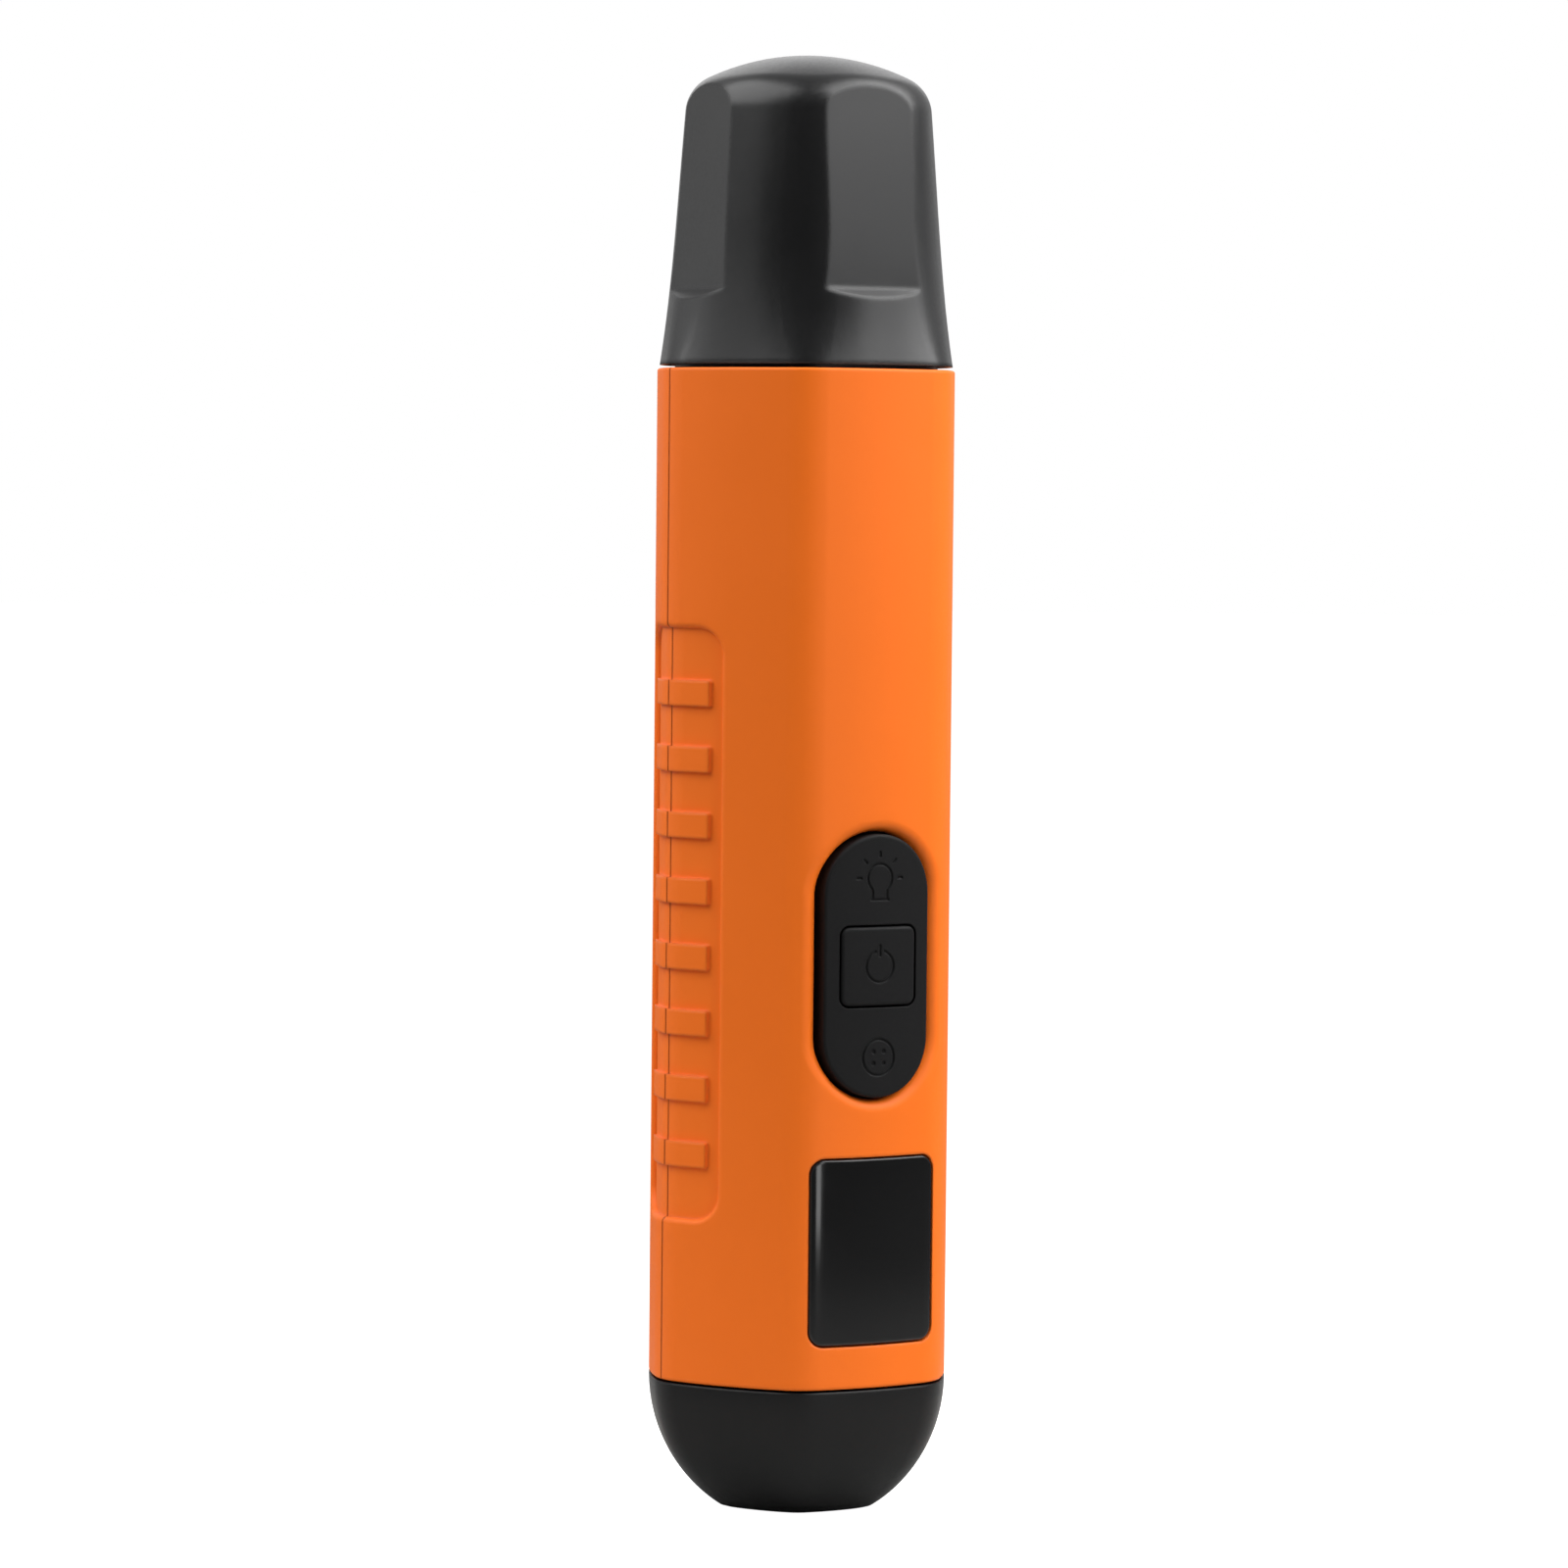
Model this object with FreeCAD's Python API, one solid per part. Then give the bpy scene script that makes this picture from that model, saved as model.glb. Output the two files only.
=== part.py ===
"""Hand-held non contact voltage tester: hexagonal body, pull-off probe cap and pull-out battery tail.

Units are millimetres. The origin is the centre of the flat tail end, +Z runs up to the cap and
the display and keys face -Y. Angles round the body are measured from the front, towards +X.
"""
import FreeCAD, Part
import math
import os
from FreeCAD import Vector

# Body section: a soft hexagon with crowned facets and rounded corners
across_flats = 41.0
facet_crown = 44.0
corner_radius = 8.0
shell_wall = 2.6

# Lengths along the axis
tail_length = 18.0
tail_joint_gap = 0.3
body_length = 138.6
cap_joint_gap = 0.5
cap_length = 42.6

# Casing edges and the parting line between the front and rear shells
shell_edge = 0.35
seam_gap = 0.14
tab_length = 14.0
tab_reach = 3.2
tab_thickness = 1.2
tab_fit = 0.1
tab_heights = (14.0, 44.0)

# Shares of a full edge radius, tried in turn
roll_shares = (1.0, 0.8, 0.65, 0.5)

# Fits
slide_fit = 0.1
seat_fit = 0.05
thread_fit = 0.02

# Tail cap
foot_radius = 10.6
foot_edge = 0.4
tail_wall = 2.2
tail_floor = 2.6
tail_sections = 9
spigot_height = 6.0
spigot_wall = 1.5
gasket_height = 1.6
gasket_depth = 0.9
sled_side_gap = 0.3

# Probe cap
rim_inset = 0.3
cap_blend = 9.0
cap_neck_inset = 1.45
cap_taper = 4.8
round_crown = 1.2
round_corner = 0.8
cap_crown = 32.0
cap_shoulder = 5.5
cap_wall = 1.8
cap_fit = 0.3
cap_rim_edge = 0.3
flat_depth = 3.0
flat_tilt = 3.7
flat_lift = 10.3
ledge_slope = 38.0
flat_count = 4

# Display window, measured from the body's lower edge
window_width = 19.4
window_height = 25.4
window_corner = 2.0
window_lift = 18.7
window_gap = 0.22
window_thickness = 1.2
window_sink = 0.05
window_edge = 0.35
window_ledge = 1.5
gasket_thickness = 0.3

# Display module
lcd_width = 15.4
lcd_height = 22.6
lcd_thickness = 2.4
lcd_setback = 1.0
backlight_thickness = 1.4
frame_wall = 1.2
lcd_clearance = 0.1
strip_thickness = 1.6

# Keypad, measured from the body's lower edge
keypad_width = 16.5
keypad_height = 35.9
keypad_lift = 57.6
keypad_gap = 0.35
keypad_proud = 0.25
keypad_edge = 0.45
keypad_rollover = 1.6
rocker_flange = 0.9
rocker_flange_thickness = 1.0
rocker_swing_space = 0.8
key_width = 11.6
key_height = 10.7
key_corner = 1.2
key_gap = 0.3
key_proud = 0.45
key_setback = 1.9
icon_depth = 0.16
icon_line = 0.36
power_ring = 2.15
power_bar = 1.7
bulb_lift = 12.0
bulb_radius = 1.9
ray_count = 5
ray_start = 2.8
ray_length = 0.9
mode_drop = 12.4
mode_ring = 2.45
mode_dot = 0.34
mode_dot_spread = 0.8

# Rocker pivot
pivot_setback = 3.0
pin_radius = 0.6
pin_overlap = 1.25
ear_width = 1.3
lug_gap = 0.35
lug_thickness = 1.5
lug_half_height = 1.5

# Side grips, measured from the body's lower edge
grip_lift = 62.8
grip_length = 80.7
grip_half_width = 8.6
grip_corner = 3.6
grip_depth = 0.8
grip_edge = 0.75
rib_count = 8
rib_pitch = 9.0
rib_height = 3.45
rib_half_length = 7.0
rib_sink = 0.25
rib_edge = 0.25
rib_root = 0.2

# Shell screws
screw_x = 14.0
screw_lifts = (66.0, 122.0)
boss_radius = 2.7
screw_radius = 1.05
screw_hole_radius = 1.2
screw_head_radius = 2.1
screw_head_height = 1.6
head_recess_radius = 2.35
head_seat = 4.0
screw_reach = 7.0
recess_radius = 1.1
recess_depth = 0.9

# Main circuit board
board_setback = 7.3
board_thickness = 1.6
board_half_width = 10.5
board_bottom_lift = 5.4
board_top_drop = 9.6
post_radius = 1.9
post_x = 7.5
post_gap = 4.3
upper_post_drop = 19.0
board_screw_radius = 0.75
board_screw_length = 5.0
board_screw_head = 1.5
board_screw_head_height = 1.1
switch_side = 6.0
switch_height = 2.9
plunger_radius = 1.6
plunger_height = 0.6
seal_thickness = 0.8
seal_half_width = 6.6
seal_margin = 1.1
seal_corner = 2.5
seal_gap = 0.3
seal_rim = 1.0
buzzer_radius = 6.0
buzzer_height = 4.6
buzzer_lift = 100.0
buzzer_port = 1.0
header_pins = 5
header_pitch = 2.54
header_side = 2.5
header_drop = 3.6
pin_wire = 0.3

# Battery sled
cell_radius = 7.25
cell_length = 50.5
nub_radius = 2.75
nub_length = 1.0
cell_spacing = 15.0
cell_back = 1.5
cell_clearance = 0.25
sled_wall = 1.2
sled_open = 2.0
sled_base_lift = 12.5
sled_floor = 1.5
sled_top = 2.0
sled_screw_head = 1.1
plate_thickness = 0.3
spring_length = 2.6
spring_radius = 3.0
spring_wire = 0.35
spring_turns = 3.0
plate_half_width = 3.6
post_column_radius = 5.0
leaf_thickness = 0.3
leaf_half_width = 2.2
leaf_gap = 0.05

# Nose under the cap
plug_depth = 7.0
collar_height = 6.6
nose_bore = 9.4
nose_root = 10.4
nose_neck = 6.8
tip_clearance = 5.0
nose_wall = 1.6
tip_height = 13.5
tip_end = 4.4
tip_wall = 1.3
tip_plug = 3.0
seal_ring_height = 1.4
seal_ring_depth = 0.7
seal_ring_drop = 3.2
torch_y = 13.6
torch_radius = 2.9
torch_reflector_height = 5.5
torch_dome = 0.7
torch_led_radius = 1.4
torch_led_height = 1.6
nose_board_thickness = 1.2
nose_board_radius = 15.2
nose_screw_x = 12.2
led_radius = 2.4
led_stand = 11.0
led_body = 7.0
led_leg_spread = 1.27
led_leg = 0.25
antenna_half_width = 2.2
antenna_thickness = 0.4
antenna_back = 1.9
antenna_drop = 7.5

# Places that follow from the sizes above
half_across = across_flats / 2
tail_top = tail_length
body_base = tail_top + tail_joint_gap
body_top = body_base + body_length
cap_base = body_top + cap_joint_gap
cap_top = cap_base + cap_length
window_z = body_base + window_lift
keypad_z = body_base + keypad_lift
grip_z = body_base + grip_lift
wall_depth = half_across - shell_wall
lcd_front = wall_depth - lcd_setback
board_front = wall_depth - board_setback
board_back = board_front - board_thickness
key_depth = wall_depth - key_setback
pivot_depth = wall_depth - pivot_setback
pin_inner = keypad_width / 2 - pin_overlap
lug_start = keypad_width / 2 + rocker_flange + lug_gap
lug_end = lug_start + lug_thickness
board_bottom = body_base + board_bottom_lift
board_top = body_top - board_top_drop
lower_post_z = window_z + window_height / 2 + post_gap
upper_post_z = body_top - upper_post_drop
sled_base = sled_base_lift
contact_floor = sled_base + sled_floor + plate_thickness
contact_roof = contact_floor + cell_length + spring_length
sled_roof = contact_roof + plate_thickness
sled_end = sled_roof + sled_top
plug_base = body_top - plug_depth
collar_top = cap_base + collar_height
tip_top = cap_top - cap_wall - tip_clearance
neck_z = tip_top - tip_height
flat_reach = half_across - flat_depth
far = 4 * across_flats


def polar(angle, radius, height=0.0):
    """A point at an angle in degrees from the front, on a circle round the axis."""
    turn = math.radians(angle)
    return Vector(radius * math.sin(turn), -radius * math.cos(turn), height)


def soft_hexagon(inset, z, scale=1.0):
    """The body's section, drawn at an inset inside its skin."""
    return soft_section((half_across - inset) * scale, (facet_crown - inset) * scale,
                        (corner_radius - inset) * scale, z)


def soft_round(radius, z):
    """Nearly circular section with the same twelve arcs as the body's, so that the two blend."""
    return soft_section(radius, radius * round_crown, radius * round_corner, z)


def soft_section(apothem, crown, corner, z):
    """Closed outline of six crowned facets and six rounded corners."""
    sag = crown - apothem
    span = math.sqrt((crown - corner) ** 2 - (sag * math.sin(math.pi / 6)) ** 2)
    corner_reach = span - sag * math.cos(math.pi / 6)
    edges = []
    for side in range(6):
        facet = 60.0 * side
        start = facet_end(facet, -30.0, sag, corner_reach, crown, z)
        end = facet_end(facet, 30.0, sag, corner_reach, crown, z)
        after = facet_end(facet + 60.0, -30.0, sag, corner_reach, crown, z)
        edges.append(Part.Arc(start, polar(facet, apothem, z), end).toShape())
        edges.append(Part.Arc(end, polar(facet + 30.0, corner_reach + corner, z), after).toShape())
    return Part.Wire(edges)


def facet_end(facet, step, sag, corner_reach, crown, z):
    """The point where a crowned facet runs smoothly into the rounded corner beside it."""
    facet_centre = polar(facet + 180.0, sag, z)
    corner_centre = polar(facet + step, corner_reach, z)
    towards = corner_centre.sub(facet_centre).normalize()
    return facet_centre.add(towards.multiply(crown))


def hex_prism(inset, low, high):
    """Straight bar of the body's section between two heights."""
    return Part.Face(soft_hexagon(inset, low)).extrude(Vector(0, 0, high - low))


def hex_ring(outer_inset, inner_inset, low, high):
    """Straight ring between two insets of the body's section."""
    core = hex_prism(inner_inset, low - 1.0, high + 1.0)
    return hex_prism(outer_inset, low, high).cut(core)


def slab(x0, x1, y0, y1, z0, z1):
    """Axis-aligned block between two corners."""
    return Part.makeBox(x1 - x0, y1 - y0, z1 - z0, Vector(x0, y0, z0))


def rod(radius, start, end):
    """Round bar between two points."""
    axis = end.sub(start)
    return Part.makeCylinder(radius, axis.Length, start, axis)


def rounded_outline(width, height, corner, z, y):
    """Closed rounded rectangle standing in a plane that faces -Y; a full corner makes a stadium."""
    round_off = min(corner, width / 2, height / 2)
    across = width / 2 - round_off
    up = height / 2 - round_off
    edges = []
    ends = []
    for number, (side, rise) in enumerate(((1, -1), (1, 1), (-1, 1), (-1, -1))):
        centre = Vector(side * across, y, z + rise * up)
        points = []
        for step in (0, 1, 2):
            turn = math.radians(90.0 * (number - 1) + 45.0 * step)
            points.append(centre.add(Vector(round_off * math.cos(turn), 0, round_off * math.sin(turn))))
        edges.append(Part.Arc(points[0], points[1], points[2]).toShape())
        ends.append((points[0], points[2]))
    for number in range(4):
        start = ends[number][1]
        end = ends[(number + 1) % 4][0]
        if start.distanceToPoint(end) > 1e-6:
            edges.append(Part.LineSegment(start, end).toShape())
    return Part.Wire(Part.__sortEdges__(edges))


def rounded_block(width, height, corner, z, front, back):
    """Rounded rectangle pushed through from y = -front to y = -back."""
    outline = rounded_outline(width, height, corner, z, -front)
    return Part.Face(outline).extrude(Vector(0, front - back, 0))


def edges_between(shape, low, high):
    """The edges that lie wholly between two heights."""
    return [e for e in shape.Edges if e.BoundBox.ZMin >= low and e.BoundBox.ZMax <= high]


def half_of(shape, side):
    """The part of a shape in front of the seam (side -1) or behind it (side 1)."""
    edge = seam_gap / 2
    if side < 0:
        keep = slab(-far, far, -far, -edge, -far, far + cap_top)
    else:
        keep = slab(-far, far, edge, far, -far, far + cap_top)
    return shape.common(keep)


def single(shape):
    """The only solid of a result, cleaned of the seams left by the cuts."""
    return shape.removeSplitter().Solids[0]


def group(solids):
    """Several separate solids kept in one node."""
    return Part.makeCompound(solids)


def body_skin():
    """The casing tube with softened end edges, before it is parted into two shells."""
    outer = hex_prism(0.0, body_base, body_top)
    rims = edges_between(outer, body_base - 0.01, body_base + 0.01)
    rims += edges_between(outer, body_top - 0.01, body_top + 0.01)
    outer = outer.makeFillet(shell_edge, rims)
    return outer.cut(hex_prism(shell_wall, body_base - 1.0, body_top + 1.0))


def grip_pocket(side):
    """The shallow sunk field of one side grip: a round-cornered panel at an even depth."""
    outline = rounded_outline(2 * grip_half_width, grip_length, grip_corner, grip_z, 0.0)
    pocket = Part.Face(outline).extrude(Vector(0, -far, 0))
    pocket.rotate(Vector(0, 0, 0), Vector(0, 0, 1), 90 * side)
    return pocket.cut(hex_prism(grip_depth, body_base, body_top))


def around_grip(edge):
    """Whether an edge runs round the mouth of a side grip."""
    box = edge.BoundBox
    across = max(abs(box.YMin), abs(box.YMax)) < grip_half_width + slide_fit
    return across and abs(box.Center.z - grip_z) < grip_length / 2


def rolled_over(shape, edges, radius):
    """A shape with some edges rounded, a little less where the full radius leaves no sound solid."""
    for share in roll_shares:
        try:
            rounded = shape.makeFillet(share * radius, edges)
        except Part.OCCError:
            continue
        if rounded.isValid():
            return rounded
    return shape


def gripped_skin():
    """The casing tube with its side grips sunk, rolled over at the mouth and ribbed."""
    skin = body_skin().cut([grip_pocket(side) for side in (-1, 1)])
    mouth = [e for e in skin.Edges if outer_edge(e, 0.0) and around_grip(e)]
    return rolled_over(skin, mouth, grip_edge).fuse(grip_ribs(-1) + grip_ribs(1))


def grip_ribs(side):
    """The cross ribs of one side grip, each rooted in the pocket floor."""
    ribs = []
    band = hex_ring(rib_sink, grip_depth + rib_root, body_base, body_top)
    for number in range(rib_count):
        z = grip_z + (number - (rib_count - 1) / 2) * rib_pitch
        reach = side * half_across / 2
        bar = slab(min(reach, 3 * reach), max(reach, 3 * reach), -rib_half_length, rib_half_length,
                   z - rib_height / 2, z + rib_height / 2)
        rib = bar.common(band)
        corners = [e for e in rib.Edges if abs(e.BoundBox.YLength) < 1.0 and e.BoundBox.ZLength < 0.01]
        ribs.append(rib.makeFillet(rib_edge, corners))
    return ribs


def screw_bosses(side):
    """Columns that carry the shell screws, one half in each shell."""
    bosses = []
    core = hex_prism(shell_wall - rib_root, body_base, body_top)
    for x in (-screw_x, screw_x):
        for lift in screw_lifts:
            z = body_base + lift
            column = rod(boss_radius, Vector(x, side * seam_gap / 2, z), Vector(x, side * half_across, z))
            bosses.append(column.common(core))
    return bosses


def seam_tabs():
    """Inner tongues of the front shell that hook behind the rear shell along the seam."""
    tabs = []
    for lift in tab_heights:
        low = body_base + lift
        high = low + tab_length
        tongue = hex_ring(shell_wall + tab_fit, shell_wall + tab_thickness, low, high)
        root = hex_ring(shell_wall - rib_root, shell_wall + tab_thickness, low, high)
        for side in (-1, 1):
            x0 = min(side * half_across / 2, side * far)
            x1 = max(side * half_across / 2, side * far)
            tabs.append(tongue.common(slab(x0, x1, -tab_reach, tab_reach, low, high)))
            tabs.append(root.common(slab(x0, x1, -tab_reach, -seam_gap, low, high)))
    return tabs


def board_posts():
    """Posts of the front shell that carry the main board."""
    posts = []
    core = hex_prism(shell_wall - rib_root, body_base, body_top)
    for x in (-post_x, post_x):
        for z in (lower_post_z, upper_post_z):
            post = rod(post_radius, Vector(x, -half_across, z), Vector(x, -board_front, z)).common(core)
            pilot = rod(board_screw_radius + thread_fit, Vector(x, -board_front - board_screw_length, z),
                        Vector(x, -board_front + 1.0, z))
            posts.append(post.cut(pilot))
    return posts


def pivot_lugs():
    """Two small lugs behind the keypad opening that hold the rocker's pins."""
    lugs = []
    core = hex_prism(shell_wall - rib_root, body_base, body_top)
    for side in (-1, 1):
        x0 = min(side * lug_start, side * lug_end)
        lug = slab(x0, x0 + lug_end - lug_start, -half_across, -pivot_depth + 2 * pin_radius,
                   keypad_z - lug_half_height, keypad_z + lug_half_height)
        lugs.append(lug.common(core))
    return lugs


def pivot_bore(radius):
    """The straight bore along the rocker's axis, as long as its two lugs reach."""
    return rod(radius, Vector(-lug_end, -pivot_depth, keypad_z), Vector(lug_end, -pivot_depth, keypad_z))


def inside_mouth(edge, width, height):
    """Whether an edge runs round the keypad's mouth."""
    box = edge.BoundBox
    across = box.XMax < width / 2 + slide_fit and box.XMin > -width / 2 - slide_fit
    return across and abs(box.Center.z - keypad_z) < height / 2


def front_shell():
    """Front half of the casing with the window seat, keypad opening, grips, bosses and posts."""
    shell = half_of(gripped_skin(), -1)
    seat = rounded_block(window_width + 2 * window_gap, window_height + 2 * window_gap,
                         window_corner + window_gap, window_z, far, half_across / 2)
    seat = seat.cut(hex_prism(window_ledge + window_sink, body_base, body_top))
    view = rounded_block(window_width - 2 * window_ledge, window_height - 2 * window_ledge,
                         window_corner, window_z, far, half_across / 2)
    mouth_width = keypad_width + 2 * keypad_gap
    mouth_height = keypad_height + 2 * keypad_gap
    mouth = rounded_block(mouth_width, mouth_height, mouth_width / 2, keypad_z, far, half_across / 2)
    shell = shell.cut(mouth)
    rim = [e for e in shell.Edges if outer_edge(e, 0.0) and inside_mouth(e, mouth_width, mouth_height)]
    room = half_across * math.tan(math.pi / 6) - mouth_width / 2
    shell = rolled_over(shell, rim, min(keypad_rollover, room / 2))
    shell = shell.cut([seat, view])
    shell = shell.fuse(screw_bosses(-1) + seam_tabs() + board_posts() + pivot_lugs())
    shell = shell.cut(pivot_bore(pin_radius + thread_fit))
    for x in (-screw_x, screw_x):
        for lift in screw_lifts:
            z = body_base + lift
            start = Vector(x, -screw_reach - 1.0, z)
            shell = shell.cut(rod(screw_radius + thread_fit, start, Vector(x, 1.0, z)))
    return single(shell)


def rear_shell():
    """Rear half of the casing with the grips and the tunnels for the shell screws."""
    shell = half_of(gripped_skin(), 1)
    shell = shell.fuse(screw_bosses(1))
    for x in (-screw_x, screw_x):
        for lift in screw_lifts:
            z = body_base + lift
            hole = rod(screw_hole_radius, Vector(x, -1.0, z), Vector(x, far, z))
            recess = rod(head_recess_radius, Vector(x, head_seat, z), Vector(x, far, z))
            shell = shell.cut([hole, recess])
    return single(shell)


def cross_recess(origin, direction):
    """A small cross-shaped driver recess sunk in a screw head."""
    length = 2 * recess_radius
    width = length / 4
    first = Part.makeBox(length, width, recess_depth, Vector(-length / 2, -width / 2, -recess_depth))
    second = Part.makeBox(width, length, recess_depth, Vector(-width / 2, -length / 2, -recess_depth))
    cross = first.fuse(second)
    cross.Placement = FreeCAD.Placement(origin, FreeCAD.Rotation(Vector(0, 0, 1), direction))
    return cross


def pan_screw(seat, direction, radius, length, head_radius, head_height):
    """One screw whose head sits on a seat and points along a direction."""
    head_end = seat.add(Vector(direction).multiply(head_height))
    tip = seat.sub(Vector(direction).multiply(length))
    screw = rod(radius, tip, seat).fuse(rod(head_radius, seat, head_end))
    return single(screw.cut(cross_recess(head_end, direction)))


def shell_screws():
    """The screws that draw the two shells together."""
    screws = []
    for x in (-screw_x, screw_x):
        for lift in screw_lifts:
            seat = Vector(x, head_seat, body_base + lift)
            screws.append(pan_screw(seat, Vector(0, 1, 0), screw_radius, head_seat + screw_reach,
                                    screw_head_radius, screw_head_height))
    return group(screws)


def display_window():
    """Crowned gloss plate that follows the facet, with a thin bevel round its face."""
    face = window_sink
    plate = hex_ring(face, face + window_thickness, body_base, body_top)
    plate = plate.common(rounded_block(window_width, window_height, window_corner, window_z, far, 0.0))
    rim = [e for e in plate.Edges if outer_edge(e, face)]
    return single(plate.makeFillet(window_edge, rim))


def outer_edge(edge, inset):
    """Whether an edge lies wholly on the skin at an inset of the body's section."""
    skin = hex_prism(inset, body_base, body_top)
    middle = edge.valueAt((edge.FirstParameter + edge.LastParameter) / 2)
    return skin.Shells[0].distToShape(Part.Vertex(middle))[0] < 0.001


def window_gasket():
    """Thin adhesive frame between the window plate and its ledge."""
    start = window_sink + window_thickness
    frame = hex_ring(start, start + gasket_thickness, body_base, body_top)
    outer = rounded_block(window_width, window_height, window_corner, window_z, far, 0.0)
    inner = rounded_block(window_width - 2 * window_ledge, window_height - 2 * window_ledge,
                          window_corner, window_z, far, 0.0)
    return single(frame.common(outer).cut(inner))


def lcd_panel():
    """The liquid crystal glass behind the window."""
    return slab(-lcd_width / 2, lcd_width / 2, -lcd_front, -lcd_front + lcd_thickness,
                window_z - lcd_height / 2, window_z + lcd_height / 2)


def lcd_backlight():
    """Light guide behind the glass, between the two connector strips."""
    front = lcd_front - lcd_thickness
    short = lcd_height / 2 - strip_thickness - 4 * lcd_clearance
    return slab(-lcd_width / 2, lcd_width / 2, -front + seat_fit, -front + backlight_thickness,
                window_z - short, window_z + short)


def lcd_connector():
    """Two elastomer strips that join the glass to the board."""
    front = lcd_front - lcd_thickness
    strips = []
    for side in (-1, 1):
        z = window_z + side * (lcd_height / 2 - strip_thickness / 2 - lcd_clearance)
        strips.append(slab(-lcd_width / 2 + 1.0, lcd_width / 2 - 1.0, -front, -board_front,
                           z - strip_thickness / 2, z + strip_thickness / 2))
    return group(strips)


def lcd_frame():
    """Moulded frame that stands on the board and holds the glass and its light guide."""
    x = lcd_width / 2 + lcd_clearance
    h = lcd_height / 2 + lcd_clearance
    block = slab(-x - frame_wall, x + frame_wall, -lcd_front, -board_front,
                 window_z - h - frame_wall, window_z + h + frame_wall)
    block = block.common(hex_prism(shell_wall + 2 * lcd_clearance, body_base, body_top))
    return single(block.cut(slab(-x, x, -far, 0.0, window_z - h, window_z + h)))


def icon_stroke(start, end):
    """A straight groove between two (x, z) places on the keypad."""
    first = Vector(start[0], 0, start[1])
    last = Vector(end[0], 0, end[1])
    along = last.sub(first)
    groove = Part.makeBox(along.Length, far, icon_line, Vector(0, -far, -icon_line / 2))
    turn = math.degrees(math.atan2(along.z, along.x))
    groove.rotate(Vector(0, 0, 0), Vector(0, 1, 0), -turn)
    groove.translate(first)
    return groove


def icon_ring(radius, x, z):
    """A round groove on the keypad."""
    outer = rod(radius + icon_line / 2, Vector(x, -far, z), Vector(x, 0, z))
    return outer.cut(rod(radius - icon_line / 2, Vector(x, -far, z), Vector(x, 0, z)))


def power_icon():
    """Open ring with a bar in its gap."""
    z = keypad_z
    gap = icon_line * 1.6
    ring = icon_ring(power_ring, 0.0, z).cut(slab(-gap, gap, -far, 0.0, z, z + 2 * power_ring))
    return [ring, icon_stroke((0.0, z + power_ring - power_bar / 2), (0.0, z + power_ring + power_bar / 2))]


def bulb_icon():
    """Light bulb outline with short rays round it."""
    z = keypad_z + bulb_lift
    neck = bulb_radius * 0.6
    base = z - bulb_radius * 1.55
    ring = icon_ring(bulb_radius, 0.0, z).cut(slab(-neck, neck, -far, 0.0, z - 2 * bulb_radius, z))
    shoulder = z - bulb_radius * 0.8
    grooves = [ring, icon_stroke((-neck, base), (-neck, shoulder)), icon_stroke((neck, base), (neck, shoulder))]
    grooves.append(icon_stroke((-neck - icon_line, base), (neck + icon_line, base)))
    for number in range(ray_count):
        turn = math.pi * (number / (ray_count - 1))
        inner = (ray_start * math.cos(turn), z + ray_start * math.sin(turn))
        reach = ray_start + ray_length
        grooves.append(icon_stroke(inner, (reach * math.cos(turn), z + reach * math.sin(turn))))
    return grooves


def mode_icon():
    """Ring with four dots, a plain sign for the sensing mode."""
    z = keypad_z - mode_drop
    grooves = [icon_ring(mode_ring, 0.0, z)]
    for x in (-mode_dot_spread, mode_dot_spread):
        for step in (-mode_dot_spread, mode_dot_spread):
            grooves.append(rod(mode_dot, Vector(x, -far, z + step), Vector(x, 0, z + step)))
    return grooves


def engrave(shape, grooves, proud):
    """Sink icon grooves a little way into a face that follows the facet."""
    floor = hex_prism(icon_depth - proud, body_base, body_top)
    return shape.cut([groove.cut(floor) for groove in grooves])


def function_rocker():
    """Oval key plate with the light and mode ends, a square window for the power key and pivot ears."""
    low = body_base
    high = body_top
    plate = hex_ring(-keypad_proud, shell_wall + rocker_swing_space + rib_root, low, high)
    plate = plate.common(rounded_block(keypad_width, keypad_height, keypad_width / 2, keypad_z, far, 0.0))
    rim = [e for e in plate.Edges if outer_edge(e, -keypad_proud)]
    plate = plate.makeFillet(keypad_edge, rim)
    back = shell_wall + rocker_swing_space
    flange = hex_ring(back, back + rocker_flange_thickness, low, high)
    flange = flange.common(rounded_block(keypad_width + 2 * rocker_flange, keypad_height + 2 * rocker_flange,
                                         keypad_width / 2 + rocker_flange, keypad_z, far, 0.0))
    ears = []
    for side in (-1, 1):
        inner = pin_inner + seat_fit
        x0 = min(side * inner, side * (inner + ear_width))
        ear = slab(x0, x0 + ear_width, -half_across + back + rocker_flange_thickness / 2,
                   -pivot_depth + 2 * pin_radius, keypad_z - lug_half_height, keypad_z + lug_half_height)
        ears.append(ear)
    hole = rounded_block(key_width + 2 * key_gap, key_height + 2 * key_gap, key_corner + key_gap,
                         keypad_z, far, 0.0)
    rocker = plate.fuse([flange] + ears).cut([hole, pivot_bore(pin_radius + seat_fit)])
    return engrave(rocker, bulb_icon() + mode_icon(), keypad_proud).Solids[0]


def power_key():
    """Square key cap that slides through the rocker's window."""
    cap = hex_prism(-key_proud, body_base, body_top)
    cap = cap.common(rounded_block(key_width, key_height, key_corner, keypad_z, far, key_depth))
    rim = [e for e in cap.Edges if outer_edge(e, -key_proud)]
    cap = cap.makeFillet(keypad_edge, rim)
    return single(engrave(cap, power_icon(), key_proud))


def rocker_pins():
    """Two steel pins pressed into the shell's lugs, on which the rocker tilts."""
    pins = []
    for side in (-1, 1):
        start = Vector(side * pin_inner, -pivot_depth, keypad_z)
        pins.append(rod(pin_radius, start, Vector(side * lug_end, -pivot_depth, keypad_z)))
    return group(pins)


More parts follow.
